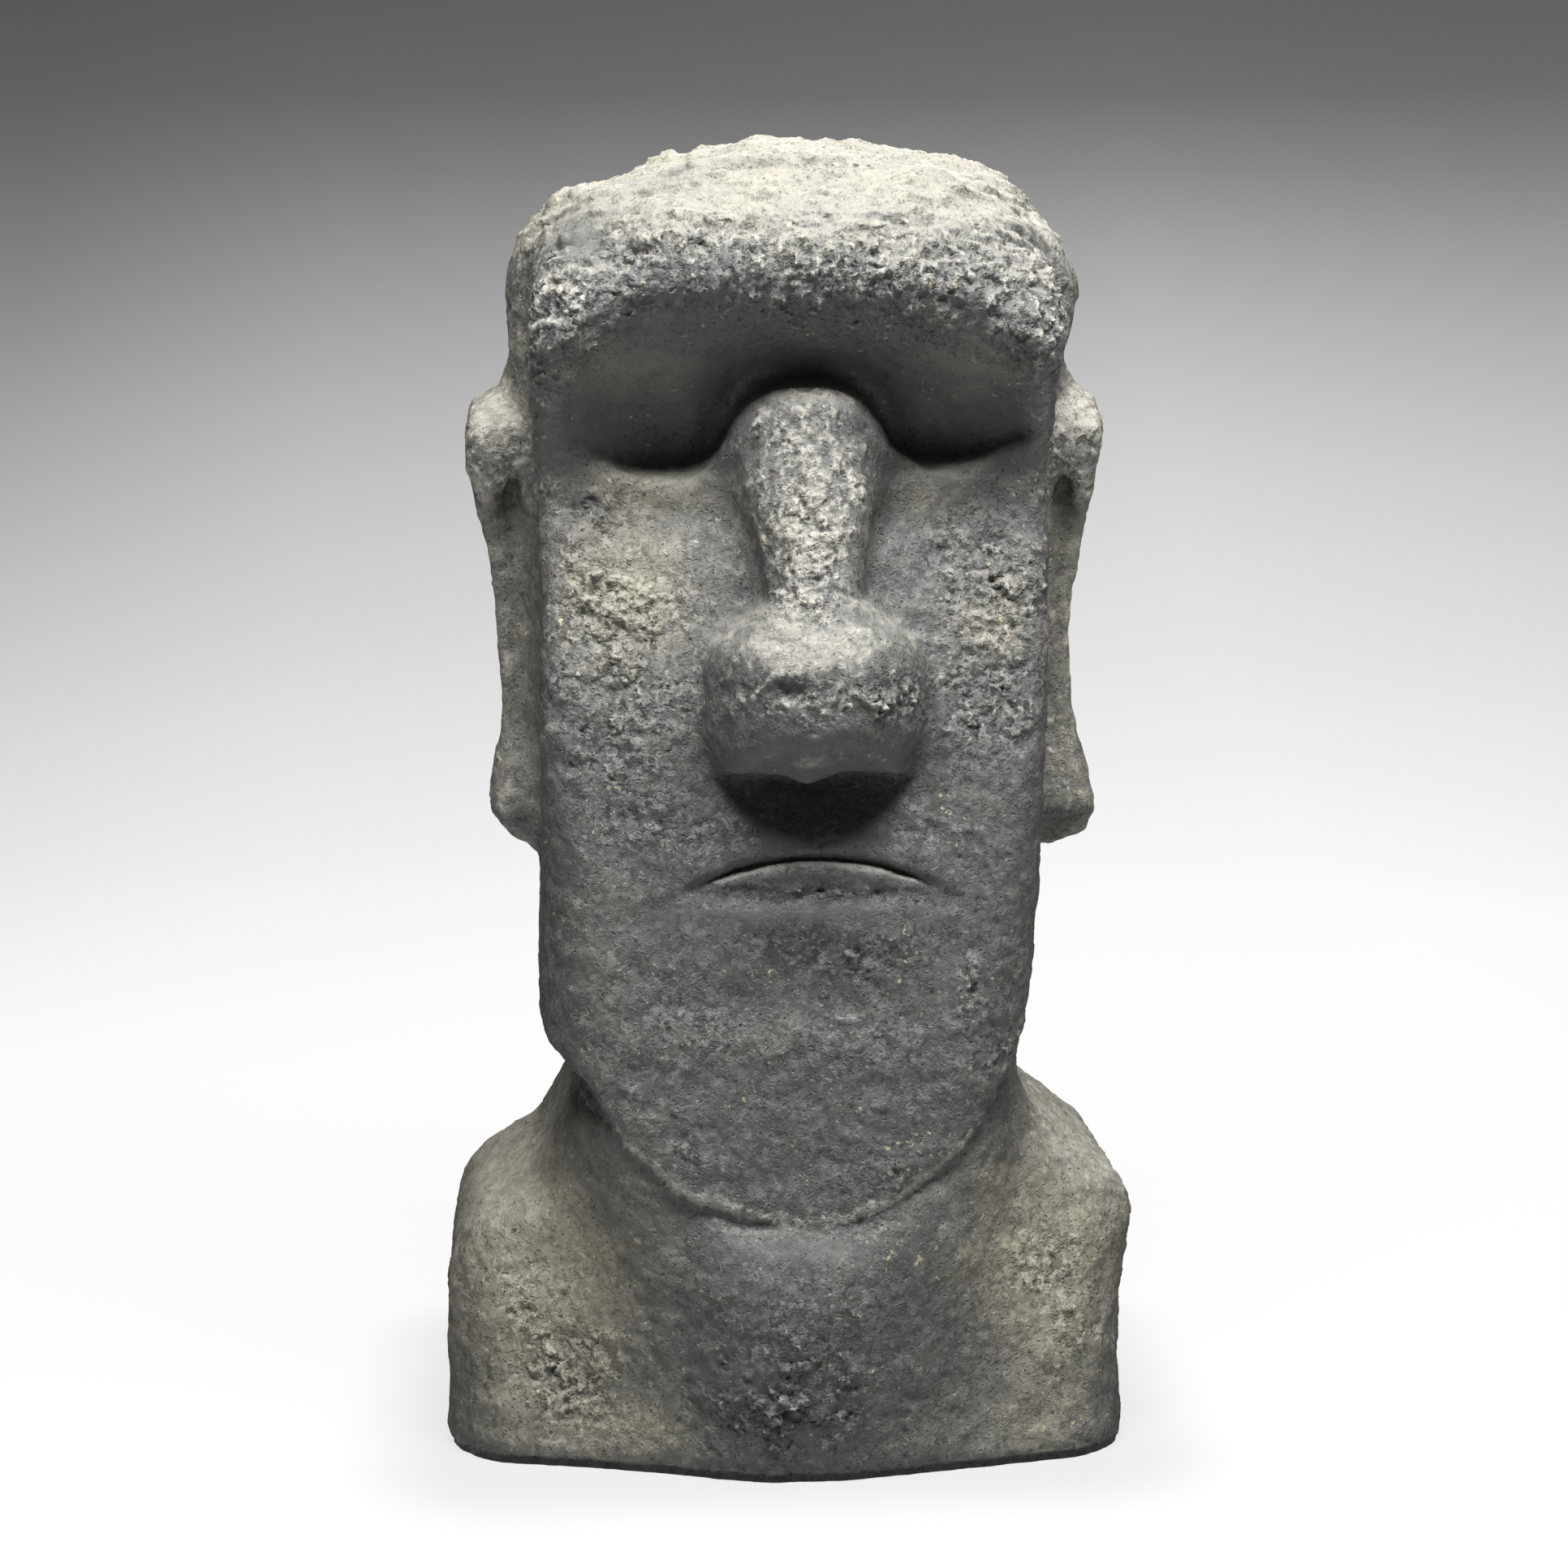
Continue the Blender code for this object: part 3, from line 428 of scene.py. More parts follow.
# where the paint is rubbed pale, with painted highlight on the nose front and the shoulders' outer sides
PALE_PAINT_AND_HIGHLIGHT = [(.0030, .3540, .038, .018, .95), (.0030, .4000, .024, .034, .85), (.0030, .4350, .026, .022, .60), (.0030, .3290, .036, .009, .45), (.0030, .3080, .040, .007, .60), (-.1280, .0900, .018, .035, .30), (.1280, .0900, .018, .040, .30), (-.0775, .3640, .014, .012, .35), (.0900, .2150, .006, .050, .30), (-.0300, .1330, .020, .012, .30), (.0040, .1180, .050, .006, .30)]

# darker patches: dark paint in the hollows, and painted shade beside and under the nose, at the top of the left cheek
# under the brow, on the chin and on the chest
DARK_PAINT_AND_SHADE = [(-.0760, .3620, .024, .036, .13), (.0760, .3620, .022, .036, .12), (-.0500, .2850, .030, .020, .45), (.0520, .2850, .030, .020, .30), (-.0800, .2850, .020, .020, .30), (-.0040, .3380, .010, .0040, .60), (.0115, .3760, .006, .0035, .60), (.0016, .2290, .036, .014, .95), (.0045, .0587, .030, .026, .18), (-.0450, .2900, .014, .012, .30), (-.0900, .4700, .016, .010, .35), (-.0820, .4060, .012, .006, .50)]

def places(x, z, spots):
    keep = np.ones_like(x)
    for cx, cz, rx, rz, w in spots:
        keep *= 1 - w * np.exp(-((x - cx) / rx) ** 2 - ((z - cz) / rz) ** 2)
    return 1 - keep

def pits(distance, pick, share, radius, depth, cell):
    """Round-bottomed pits in the cells whose number falls under share."""
    r = radius * (0.55 + 0.9 * pick[:, 1])
    d = distance / cell
    inside = np.clip(1 - (d / r) ** 2, 0, 1)
    rim = 0.12 * np.exp(-((d - r * 1.08) / (0.25 * r)) ** 2)
    return np.where(pick[:, 0] < share, depth * (0.5 + 0.8 * pick[:, 2]) * (rim - inside ** 1.4), 0.0)

def chips(p, centre, pick, tilt, lift):
    """Flat broken facets: every cell is a small plane with its own slant and level."""
    return ((p - centre) * (pick - 0.5)).sum(1) * 2 * tilt + (pick[:, 1] - 0.5) * lift

def worn_relief(p, n):
    """Height of the worn surface over the plain shape, in metres, and the masks that the material reads."""
    x, y, z = p.T
    nx, ny, nz = n.T
    front = step(0.05, -0.55, ny) * step(-0.02, -0.05, y)
    edge = 0.4960 + 0.0120 * bump(x, -.045, .030) - 0.0200 * step(.070, .100, np.abs(x))      # the ragged lower edge of the brow
    brow = step(-0.017, 0.008, z - edge) * step(0.528, 0.515, z) * step(-0.078, -0.090, y)
    fringe = step(-0.042, -0.006, z - edge) * step(-0.070, -0.085, y) * step(0.534, 0.524, z)
    corner = step(0.088, 0.101, np.abs(x)) * step(0.385, 0.42, z) * step(-0.01, -0.05, y)
    crown = step(0.30, 0.75, nz) * step(0.47, 0.50, z)
    under = step(-0.10, -0.45, nz) * step(0.410, 0.425, z) * step(-0.05, -0.07, y) * (1 - fringe)
    sill = step(-0.15, -0.45, nz) * step(0.290, 0.298, z) * step(0.340, 0.330, z) * step(-0.10, -0.11, y)
    torn = places(x, z, TORN) * front
    bridge = step(0.014, 0.007, y - curve(z, NOSE_FRONT)) * step(0.040, 0.034, np.abs(x - NOSE_X)) * step(0.395, 0.415, z) * step(0.462, 0.456, z)
    torn = np.maximum(torn, 0.34 * bridge)
    torn = np.maximum.reduce([torn, 0.70 * brow, 0.42 * fringe, 0.13 * crown, 0.30 * corner])
    calm = np.maximum.reduce([places(x, z, SMOOTH) * np.maximum(front, crown) * (1 - 0.85 * bridge), 0.85 * under, 0.9 * sill])
    warp, stir = textures(p, [("noise", 120, 2, 0.5, 0, 1, "Color"), ("noise", 320, 2, 0.5, 0, 21, "Color")])
    q = p + (warp - 0.5) * 0.0060
    w = p + (warp - 0.5) * 0.0085 + (stir - 0.5) * 0.0030
    broad, lumps, mid, grain, layer, seam, vein = [even(a) for a in textures(p, [
        ("noise", 24, 1, 0.5, 0, 2, "Fac"), ("noise", 75, 2, 0.5, 0.2, 3, "Fac"), ("noise", 150, 3, 0.55, 0.3, 4, "Fac"),
        ("noise", 420, 2, 0.6, 0.3, 5, "Fac"), ("noise", 60, 3, 0.6, 0.4, 6, "Fac"), ("noise", 48, 4, 0.6, 0.8, 22, "Fac"), ("noise", 110, 4, 0.6, 0.6, 23, "Fac")])]
    flake, crumb, plate = [even(a) for a in textures(q, [
        ("noise", 130, 4, 0.62, 0.3, 7, "Fac"), ("noise", 260, 3, 0.6, 0.2, 8, "Fac"), ("noise", 105, 3, 0.5, 0.2, 9, "Fac")])]
    f1, k1, f2, k2 = textures(w, [("cell", 92, 0, 0, 0, 31, "Position"), ("cell", 92, 0, 0, 0, 31, "Color"),
                                  ("cell", 205, 0, 0, 0, 32, "Position"), ("cell", 205, 0, 0, 0, 32, "Color")])
    big, small = chips(w, f1, k1, 0.34, 0.0007), chips(w, f2, k2, 0.42, 0.0005)
    # sharp crests with rounded hollows between them, and on the brow crests that run down it
    along = np.stack([x, y * 0.6, z * 0.42], 1) + (warp - 0.5) * 0.007
    crest1, crest2 = [1 - 1.8 * np.abs(even(a)) for a in textures(q, [("noise", 68, 2, 0.5, 0.3, 41, "Fac"), ("noise", 150, 2, 0.5, 0.3, 42, "Fac")])]
    drip, = [1 - 1.8 * np.abs(even(a)) for a in textures(along, [("noise", 125, 3, 0.55, 0.3, 43, "Fac")])]
    # the crown breaks in level layers: noise read on squashed heights, broken across by the lumps
    level = np.stack([x * 0.50, y * 0.50, (z + 0.45 * y) * 1.7], 1) + (warp - 0.5) * 0.016
    layered, = [even(a) for a in textures(level, [("noise", 60, 1.6, 0.5, 0.2, 11, "Fac")])]
    d1, c1, d2, c2, d3, c3 = textures(p + (warp - 0.5) * 0.0030 + (stir - 0.5) * 0.0016, [
        ("cell", 150, 0, 0, 0, 12, "Distance"), ("cell", 150, 0, 0, 0, 12, "Color"),
        ("cell", 260, 0, 0, 0, 13, "Distance"), ("cell", 260, 0, 0, 0, 13, "Color"),
        ("cell", 62, 0, 0, 0, 14, "Distance"), ("cell", 62, 0, 0, 0, 14, "Color")])
    # torn places have ragged borders
    torn = np.clip(torn + 0.24 * torn * (1 - torn) * 4 * mid + 0.10 * flake * step(0.05, 0.3, torn), 0, 1)
    torn = torn * (1 - 0.85 * calm)
    plain = 0.06 * step(0.1, -0.3, ny) + 0.16
    r = np.maximum(torn, plain * (1 - 0.8 * calm) * (0.75 + 0.45 * layer))
    h = (0.00060 + 0.0007 * crown) * broad * (1 - 0.5 * calm)
    h = h + lumps * (0.00012 + 0.00065 * r) * (1 - 0.7 * calm)
    h = h + (0.0013 * crest1 + 0.0007 * crest2) * r ** 1.3
    h = h + big * (0.01 + 0.60 * r ** 1.5) * (0.75 + 0.35 * mid) + small * (0.03 + 0.62 * r ** 1.2) * (0.80 + 0.40 * flake) * (1 - 0.5 * crown)
    h = h + 0.0012 * drip * np.maximum(brow, fringe) * torn
    h = h + terraces(flake * (0.0001 + 0.0008 * r ** 1.3), 0.00075, 3.0, 0.35)
    h = h + (crumb * (0.00006 + 0.00036 * r ** 1.2) + grain * (0.00006 + 0.00020 * r)) * (1 - 0.5 * crown)
    h = h + terraces(plate * 0.00050, 0.00030, 5.0, 0.15) * step(0.75, 0.3, r) * (1 - 0.9 * calm)
    # hairline seams in the smoother skin
    line = np.maximum(np.exp(-(seam / 0.040) ** 2), 0.7 * np.exp(-(vein / 0.055) ** 2) * step(-0.1, 0.5, layer))
    h = h - 0.00050 * line * (1 - 0.9 * calm) * step(-0.9, 0.1, broad + lumps) * (0.5 + 0.5 * r)
    h = h + crown * (terraces(layered * 0.0032, 0.0022, 2.2, 0.40) * (0.60 + 0.40 * lumps))
    h = h + pits(d1, c1, 0.02 + 0.42 * r, 0.27, 0.0014 * (0.3 + 1.2 * r), 1.0)
    h = h + pits(d2, c2, 0.03 + 0.36 * r, 0.27, 0.0009 * (0.4 + 1.0 * r), 1.0)
    h = h + pits(d3, c3, 0.01 + 0.30 * r ** 2, 0.23, 0.0028 * (0.1 + 0.9 * r), 1.0)
    # the deeper hollow low on the nose, and the short raised scar beside its right wing
    h = h - 0.0024 * np.exp(-((x + 0.0040) / 0.0110) ** 2 - ((z - 0.3365) / 0.0042) ** 2) * front
    h = h + 0.0007 * np.exp(-((z - 0.3545 + 0.20 * (x - 0.045)) / 0.0010) ** 2) * step(0.043, 0.049, x) * step(0.068, 0.060, x) * front
    peak_and_painted_light = 0.40 * flake + 0.35 * crumb + 0.25 * grain + (0.6 * crest1 + 0.6 * crest2 + 700 * small) * r
    # the jaw's edge is painted pale: rubbed paint, and a painted highlight along the ledge where it catches the light
    rubbed_and_lit_edge = np.exp(-((z - curve(x, JAW_LINE) - 0.0030) / 0.0032) ** 2) * step(0.085, 0.070, np.abs(x)) * step(-0.060, -0.075, y)
    ears = step(0.108, 0.116, np.abs(x)) * step(0.250, 0.262, z) * step(0.470, 0.455, z) * step(0.03, 0.0, y)
    # painted tone over the relief: paler on the pale places, the jaw's edge, the mask's corners and the ears' front
    # faces, partly worn paint and partly painted highlight; darker on the dark places, partly dark paint and partly
    # painted shade
    peak_and_painted_light = peak_and_painted_light + 2.0 * rubbed_and_lit_edge + 2.0 * places(x, z, PALE_PAINT_AND_HIGHLIGHT) * front - 3.2 * places(x, z, DARK_PAINT_AND_SHADE) * front + 0.7 * corner + 0.9 * ears * step(0.1, -0.3, ny)
    side = step(0.095, 0.0, -y) * 0.60
    olive = np.clip(np.maximum(places(x, z, OLIVE), side) + 0.10 * lumps + 0.12 * broad, 0, 1)
    return h, torn, calm, peak_and_painted_light, olive

# ---------------------------------------------------------------- the piece
TRIANGLES, BACK_TRIANGLES = 194_000, 42_000
verts, quads = grid_mesh(0.0033)
print("grid", len(quads), "%.1f s" % (time.time() - started))
verts, quads = quarter(verts, quads)
verts = project(verts, 0.0015, 1)
verts, quads = quarter(verts, quads)
verts = project(verts, 0.0008, 1)
sole = verts[:, 2] < 0.0005
print("fine", len(quads), "%.1f s" % (time.time() - started))
g = gradient(verts)
normals = g / np.maximum(np.linalg.norm(g, axis=1), 1e-9)[:, None]
height, torn, calm, peak_and_painted_light, olive = worn_relief(verts, normals)
fade = step(0.0, 0.006, verts[:, 2])
face = verts[:, 1] < -0.08
verts[:, 1] += np.where(face, mouth_groove(verts[:, 0], verts[:, 2]), 0.0)
verts = verts + normals * (height * fade)[:, None]
print("relief", "%.1f s" % (time.time() - started), "height %.2f..%.2f mm" % (height.min() * 1000, height.max() * 1000))

def mesh_from(name, verts, quads):
    me = bpy.data.meshes.new(name)
    me.vertices.add(len(verts))
    me.vertices.foreach_set("co", verts.astype(np.float32).ravel())
    me.loops.add(quads.size)
    me.loops.foreach_set("vertex_index", quads.astype(np.int32).ravel())
    me.polygons.add(len(quads))
    me.polygons.foreach_set("loop_start", np.arange(0, quads.size, quads.shape[1], dtype=np.int32))
    me.update(calc_edges=True)
    return me

dense = mesh_from("dense", verts, quads)
seen = (normals[:, 1] < -0.05) | ((normals[:, 2] > 0.30) & (verts[:, 2] > 0.10) & (verts[:, 1] < 0.06))
for name, values in (("torn", torn), ("calm", calm), ("peak_and_painted_light", peak_and_painted_light), ("olive", olive), ("seen", seen)):
    dense.attributes.new(name, "FLOAT", "POINT").data.foreach_set("value", values.astype(np.float32))
statue = bpy.data.objects.new("moai_cast_stone", dense)
bpy.context.scene.collection.objects.link(statue)
# the back, the sides and the foot are reduced first and further than the front and the crown
def reduced(keep, target):
    """The statue's mesh with its faces reduced to a number, and every vertex in keep left alone."""
    group = statue.vertex_groups.new(name="free")
    group.add(np.flatnonzero(~keep).tolist(), 1.0, "REPLACE")
    m = statue.modifiers.new("reduce", "DECIMATE")
    m.vertex_group = "free"
    total = np.empty(len(statue.data.polygons), np.int32)
    statue.data.polygons.foreach_get("loop_total", total)
    m.ratio = target / float((total - 2).sum())
    old = statue.data
    statue.data = bpy.data.meshes.new_from_object(statue.evaluated_get(bpy.context.evaluated_depsgraph_get()))
    statue.modifiers.clear()
    statue.vertex_groups.clear()
    bpy.data.meshes.remove(old)
    return statue.data
half = reduced(seen, 2 * len(quads) * float(seen[quads[:, 0]].mean()) + BACK_TRIANGLES)
print("back reduced", len(half.polygons), "%.1f s" % (time.time() - started))
flag = np.empty(len(half.vertices), np.float32)
half.attributes["seen"].data.foreach_get("value", flag)
fine = reduced(flag < 0.5, TRIANGLES)
print("reduced", len(fine.polygons), "%.1f s" % (time.time() - started), [a.name for a in fine.attributes])

# the foot: cut level just over the floor, stepped in, and down to the floor, so that a thin gap runs round it, painted
# near black in the material as painted shade
GAP, INSET = 0.0032, 0.0012
bm = bmesh.new()
bm.from_mesh(fine)
def mend(bm):
    """Cut out pinched spots, where more than two faces share an edge, and close the holes again."""
    for _ in range(4):
        pinched = {v for e in bm.edges if len(e.link_faces) > 2 for v in e.verts}
        if not pinched:
            break
        bmesh.ops.delete(bm, geom=list(pinched), context="VERTS")
        bmesh.ops.holes_fill(bm, edges=[e for e in bm.edges if len(e.link_faces) == 1], sides=0)
        bmesh.ops.triangulate(bm, faces=[f for f in bm.faces if len(f.verts) > 3])

mend(bm)
bmesh.ops.remove_doubles(bm, verts=bm.verts[:], dist=1e-6)
print("edge kinds", [sum(1 for e in bm.edges if len(e.link_faces) == k) for k in (0, 1, 3, 4)])
bmesh.ops.bisect_plane(bm, geom=bm.verts[:] + bm.edges[:] + bm.faces[:], dist=1e-5, plane_co=(0, 0, GAP), plane_no=(0, 0, 1), clear_inner=True)
rim = [e for e in bm.edges if len(e.link_faces) == 1]
ring = bmesh.ops.extrude_edge_only(bm, edges=rim)["geom"]
moved = [v for v in ring if isinstance(v, bmesh.types.BMVert)]
p = np.array([v.co for v in moved])
g = gradient(p); g[:, 2] = 0
g /= np.linalg.norm(g, axis=1)[:, None]
for v, d in zip(moved, g.tolist()):
    v.co.x -= INSET * d[0]; v.co.y -= INSET * d[1]
inner = [e for e in ring if isinstance(e, bmesh.types.BMEdge)]
ring = bmesh.ops.extrude_edge_only(bm, edges=inner)["geom"]
for v in ring:
    if isinstance(v, bmesh.types.BMVert):
        v.co.z = 0.0
bmesh.ops.edgeloop_fill(bm, edges=[e for e in ring if isinstance(e, bmesh.types.BMEdge)])
bmesh.ops.recalc_face_normals(bm, faces=bm.faces[:])
bmesh.ops.triangulate(bm, faces=bm.faces[:])
print("edge kinds", [sum(1 for e in bm.edges if len(e.link_faces) == k) for k in (0, 1, 3, 4)])
print("open edges", sum(1 for e in bm.edges if len(e.link_faces) != 2), "triangles", len(bm.faces))
bm.to_mesh(fine)
bm.free()
fine.name = "moai_cast_stone"
fine.shade_smooth()

# ridges and hollows of the finished mesh, for wear on the edges and dark in the pits
co = np.empty(len(fine.vertices) * 3, np.float32); fine.vertices.foreach_get("co", co); co = co.reshape(-1, 3).astype(float)
no = np.empty(len(fine.vertices) * 3, np.float32); fine.vertex_normals.foreach_get("vector", no); no = no.reshape(-1, 3).astype(float)
ed = np.empty(len(fine.edges) * 2, np.int32); fine.edges.foreach_get("vertices", ed); ed = ed.reshape(-1, 2)
d = co[ed[:, 1]] - co[ed[:, 0]]
length = np.linalg.norm(d, axis=1) + 1e-9
bend = np.zeros(len(co)); count = np.zeros(len(co))
np.add.at(bend, ed[:, 0], -(d * no[ed[:, 0]]).sum(1) / length); np.add.at(count, ed[:, 0], 1)
np.add.at(bend, ed[:, 1], (d * no[ed[:, 1]]).sum(1) / length); np.add.at(count, ed[:, 1], 1)
bend /= np.maximum(count, 1)
for _ in range(1):
    s = np.zeros(len(co)); np.add.at(s, ed[:, 0], bend[ed[:, 1]]); np.add.at(s, ed[:, 1], bend[ed[:, 0]])
    bend = 0.5 * bend + 0.5 * s / np.maximum(count, 1)
fine.attributes.new("ridge", "FLOAT", "POINT").data.foreach_set("value", bend.astype(np.float32))
print("ridge", np.percentile(bend, (1, 10, 50, 90, 99)).round(3), "%.1f s" % (time.time() - started))
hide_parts("moai_statue")
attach(statue, "root")

# ---------------------------------------------------------------- the stone
class Nodes:
    """Short names for building a node tree."""
    def __init__(self, tree):
        self.tree = tree

    def add(self, kind, **settings):
        node = self.tree.nodes.new(kind)
        for name, value in settings.items():
            setattr(node, name, value)
        return node

    def put(self, socket, value):
        if isinstance(value, bpy.types.NodeSocket):
            self.tree.links.new(value, socket)
        elif value is not None:
            socket.default_value = value

    def noise(self, at, scale, detail=3.0, rough=0.55, distort=0.0, kind="FBM", output="Fac"):
        n = self.add("ShaderNodeTexNoise", noise_type=kind)
        self.put(n.inputs["Vector"], at)
        for name, value in (("Scale", scale), ("Detail", detail), ("Roughness", rough), ("Distortion", distort)):
            n.inputs[name].default_value = value
        return n.outputs[output]

    def cells(self, at, scale, feature="F1", output="Distance", random=1.0):
        n = self.add("ShaderNodeTexVoronoi", feature=feature)
        self.put(n.inputs["Vector"], at)
        n.inputs["Scale"].default_value = scale
        n.inputs["Randomness"].default_value = random
        return n.outputs[output]

    def chips(self, at, scale, tilt, lift):
        """Small flat facets, each cell a plane with its own slant and level, and the cell's distance and number."""
        n = self.add("ShaderNodeTexVoronoi", feature="F1")
        self.put(n.inputs["Vector"], at)
        n.inputs["Scale"].default_value = scale
        off = self.add("ShaderNodeVectorMath", operation="SUBTRACT")
        self.put(off.inputs[0], at); self.put(off.inputs[1], n.outputs["Position"])
        way = self.add("ShaderNodeVectorMath", operation="SUBTRACT")
        self.put(way.inputs[0], n.outputs["Color"]); way.inputs[1].default_value = (0.5, 0.5, 0.5)
        dot = self.add("ShaderNodeVectorMath", operation="DOT_PRODUCT")
        self.put(dot.inputs[0], off.outputs[0]); self.put(dot.inputs[1], way.outputs[0])
        slope = self.math("MULTIPLY", dot.outputs["Value"], 2 * tilt)
        level = self.math("MULTIPLY", self.math("SUBTRACT", n.outputs["Color"], 0.5), lift)
        return self.math("ADD", slope, level), n.outputs["Distance"], n.outputs["Color"]

    def math(self, operation, a, b=None, clamp=False):
        n = self.add("ShaderNodeMath", operation=operation, use_clamp=clamp)
        self.put(n.inputs[0], a); self.put(n.inputs[1], b)
        return n.outputs[0]

    def ramp(self, value, low, high, out0=0.0, out1=1.0, smooth=True):
        n = self.add("ShaderNodeMapRange", interpolation_type="SMOOTHSTEP" if smooth else "LINEAR")
        self.put(n.inputs[0], value)
        for i, number in enumerate((low, high, out0, out1)):
            n.inputs[i + 1].default_value = number
        return n.outputs[0]

    def mix(self, amount, a, b, how="MIX"):
        n = self.add("ShaderNodeMix", data_type="RGBA", blend_type=how)
        self.put(n.inputs[0], amount)
        for i, value in ((6, a), (7, b)):
            if isinstance(value, bpy.types.NodeSocket):
                self.put(n.inputs[i], value)
            else:
                n.inputs[i].default_value = (*value, 1.0)
        return n.outputs[2]

    def attribute(self, name):
        return self.add("ShaderNodeAttribute", attribute_name=name, attribute_type="GEOMETRY").outputs["Fac"]

stone = bpy.data.materials.new("painted_cast_stone_worn")
stone.use_nodes = True
N = Nodes(stone.node_tree)
shader = stone.node_tree.nodes["Principled BSDF"]
where = N.add("ShaderNodeTexCoord").outputs["Object"]
torn, calm, peak_and_painted_light, ridge, olive = (N.attribute(a) for a in ("torn", "calm", "peak_and_painted_light", "ridge", "olive"))
# a slightly stirred place, for ragged edges
stir = N.add("ShaderNodeVectorMath", operation="MULTIPLY_ADD")
N.put(stir.inputs[0], N.noise(where, 260, 2, output="Color"))
stir.inputs[1].default_value = (0.0045,) * 3
N.put(stir.inputs[2], where)
ragged = stir.outputs[0]

# grain: fine lumps, small facets, short wavy steps, small pits
fine_grain = N.noise(where, 900, 4, 0.62)
pebble = N.noise(ragged, 430, 3, 0.6)
wavy = N.noise(ragged, 230, 2, 0.5)
steps = N.math("PINGPONG", N.math("MULTIPLY", wavy, 3.6), 1.0)
crack = N.math("MULTIPLY", N.ramp(steps, 0.0, 0.10, 1.0, 0.0), N.ramp(N.noise(where, 150, 2, 0.5), 0.50, 0.60))
facet, pit_far, pit_pick = N.chips(ragged, 430, 0.55, 0.00030)
pit = N.math("MULTIPLY", N.ramp(pit_far, 0.10, 0.32, 1.0, 0.0), N.ramp(pit_pick, 0.42, 0.36))
height = N.math("MULTIPLY", fine_grain, 0.00026)
height = N.math("ADD", height, N.math("MULTIPLY", pebble, N.ramp(torn, 0.0, 0.9, 0.00032, 0.00080)))
height = N.math("ADD", height, N.math("MULTIPLY", facet, N.ramp(torn, 0.0, 0.8, 0.30, 1.0)))
height = N.math("ADD", height, N.math("MULTIPLY", crack, -0.00022))
# flaking skin: low plates with crisp edges, in drifts
climb = N.math("MULTIPLY", N.noise(ragged, 120, 4, 0.58), 4.6)
part = N.math("FRACT", climb, 0.0)
plate = N.math("SUBTRACT", N.math("ADD", N.math("FLOOR", climb, 0.0), N.ramp(part, 0.0, 0.13)), climb)
drifts = N.ramp(N.noise(where, 46, 3, 0.55), 0.44, 0.58, 0.10, 1.0)
height = N.math("ADD", height, N.math("MULTIPLY", N.math("MULTIPLY", plate, drifts), 0.00042))
seam = N.math("MULTIPLY", N.ramp(part, 0.0, 0.085, 1.0, 0.0), drifts)
height = N.math("ADD", height, N.math("MULTIPLY", pit, -0.00045))
height = N.math("MULTIPLY", height, N.ramp(calm, 0.2, 1.0, 1.0, 0.28))
bump = N.add("ShaderNodeBump")
bump.inputs["Strength"].default_value = 1.0
bump.inputs["Distance"].default_value = 1.0
N.put(bump.inputs["Height"], height)
N.put(shader.inputs["Normal"], bump.outputs[0])

# colour: dark blue-grey and olive-grey in broad drifts, cream on what stands proud, near black in pits and cracks, with
# painted highlights and painted shade brought in through the pale and dark places
mottle = N.noise(where, 70, 3, 0.5)
drift = N.ramp(N.math("ADD", olive, N.math("MULTIPLY", N.math("SUBTRACT", mottle, 0.5), 0.22)), 0.05, 0.95)
base = N.mix(drift, (0.128, 0.131, 0.129), (0.308, 0.293, 0.232))
proud_and_painted_light = N.math("ADD", N.math("MULTIPLY", peak_and_painted_light, 0.35), N.math("MULTIPLY", ridge, 2.2))
proud_and_painted_light = N.math("ADD", proud_and_painted_light, N.math("MULTIPLY", N.math("SUBTRACT", pebble, 0.5), 1.0))
# cream dry-brush on what stands proud, and painted highlight on the pale places
dry_brush_and_highlight = N.math("MULTIPLY", N.ramp(proud_and_painted_light, 0.15, 0.95), N.math("MAXIMUM", N.ramp(torn, 0.0, 0.8, 0.22, 0.95), N.ramp(peak_and_painted_light, 0.7, 1.6)))
base = N.mix(N.math("MULTIPLY", dry_brush_and_highlight, 0.8), base, (0.450, 0.438, 0.390))
# faces turned up are painted paler: dust, and a painted top light
up = N.add("ShaderNodeSeparateXYZ"); N.put(up.inputs[0], N.add("ShaderNodeNewGeometry").outputs["Normal"])
dust_and_top_light = N.math("MULTIPLY", N.ramp(up.outputs["Z"], 0.35, 0.95), N.ramp(calm, 0.1, 0.8, 1.0, 0.0))
base = N.mix(N.math("MULTIPLY", dust_and_top_light, 0.54), base, (0.410, 0.398, 0.352))
fleck = N.math("MULTIPLY", N.ramp(N.noise(ragged, 320, 2, 0.5), 0.665, 0.70), N.ramp(N.math("ADD", N.noise(where, 40, 2), N.math("MULTIPLY", olive, 0.10)), 0.48, 0.64))
base = N.mix(N.math("MULTIPLY", fleck, 0.75), base, (0.540, 0.490, 0.330))
# near black in low relief, pits and cracks, and painted shade on the dark places
low = N.ramp(proud_and_painted_light, -1.2, -0.25, 1.0, 0.0)
dark_and_painted_shade = N.math("MAXIMUM", N.math("MULTIPLY", low, N.math("MAXIMUM", N.ramp(torn, 0.0, 0.7, 0.22, 0.60), N.ramp(peak_and_painted_light, -0.6, -2.2, 0.0, 0.85))), N.math("MAXIMUM", N.math("MULTIPLY", N.math("MAXIMUM", crack, N.math("MULTIPLY", seam, N.ramp(calm, 0.3, 0.9, 0.9, 0.2))), 0.5), N.math("MULTIPLY", pit, 0.6)))
base = N.mix(dark_and_painted_shade, base, (0.062, 0.064, 0.062))
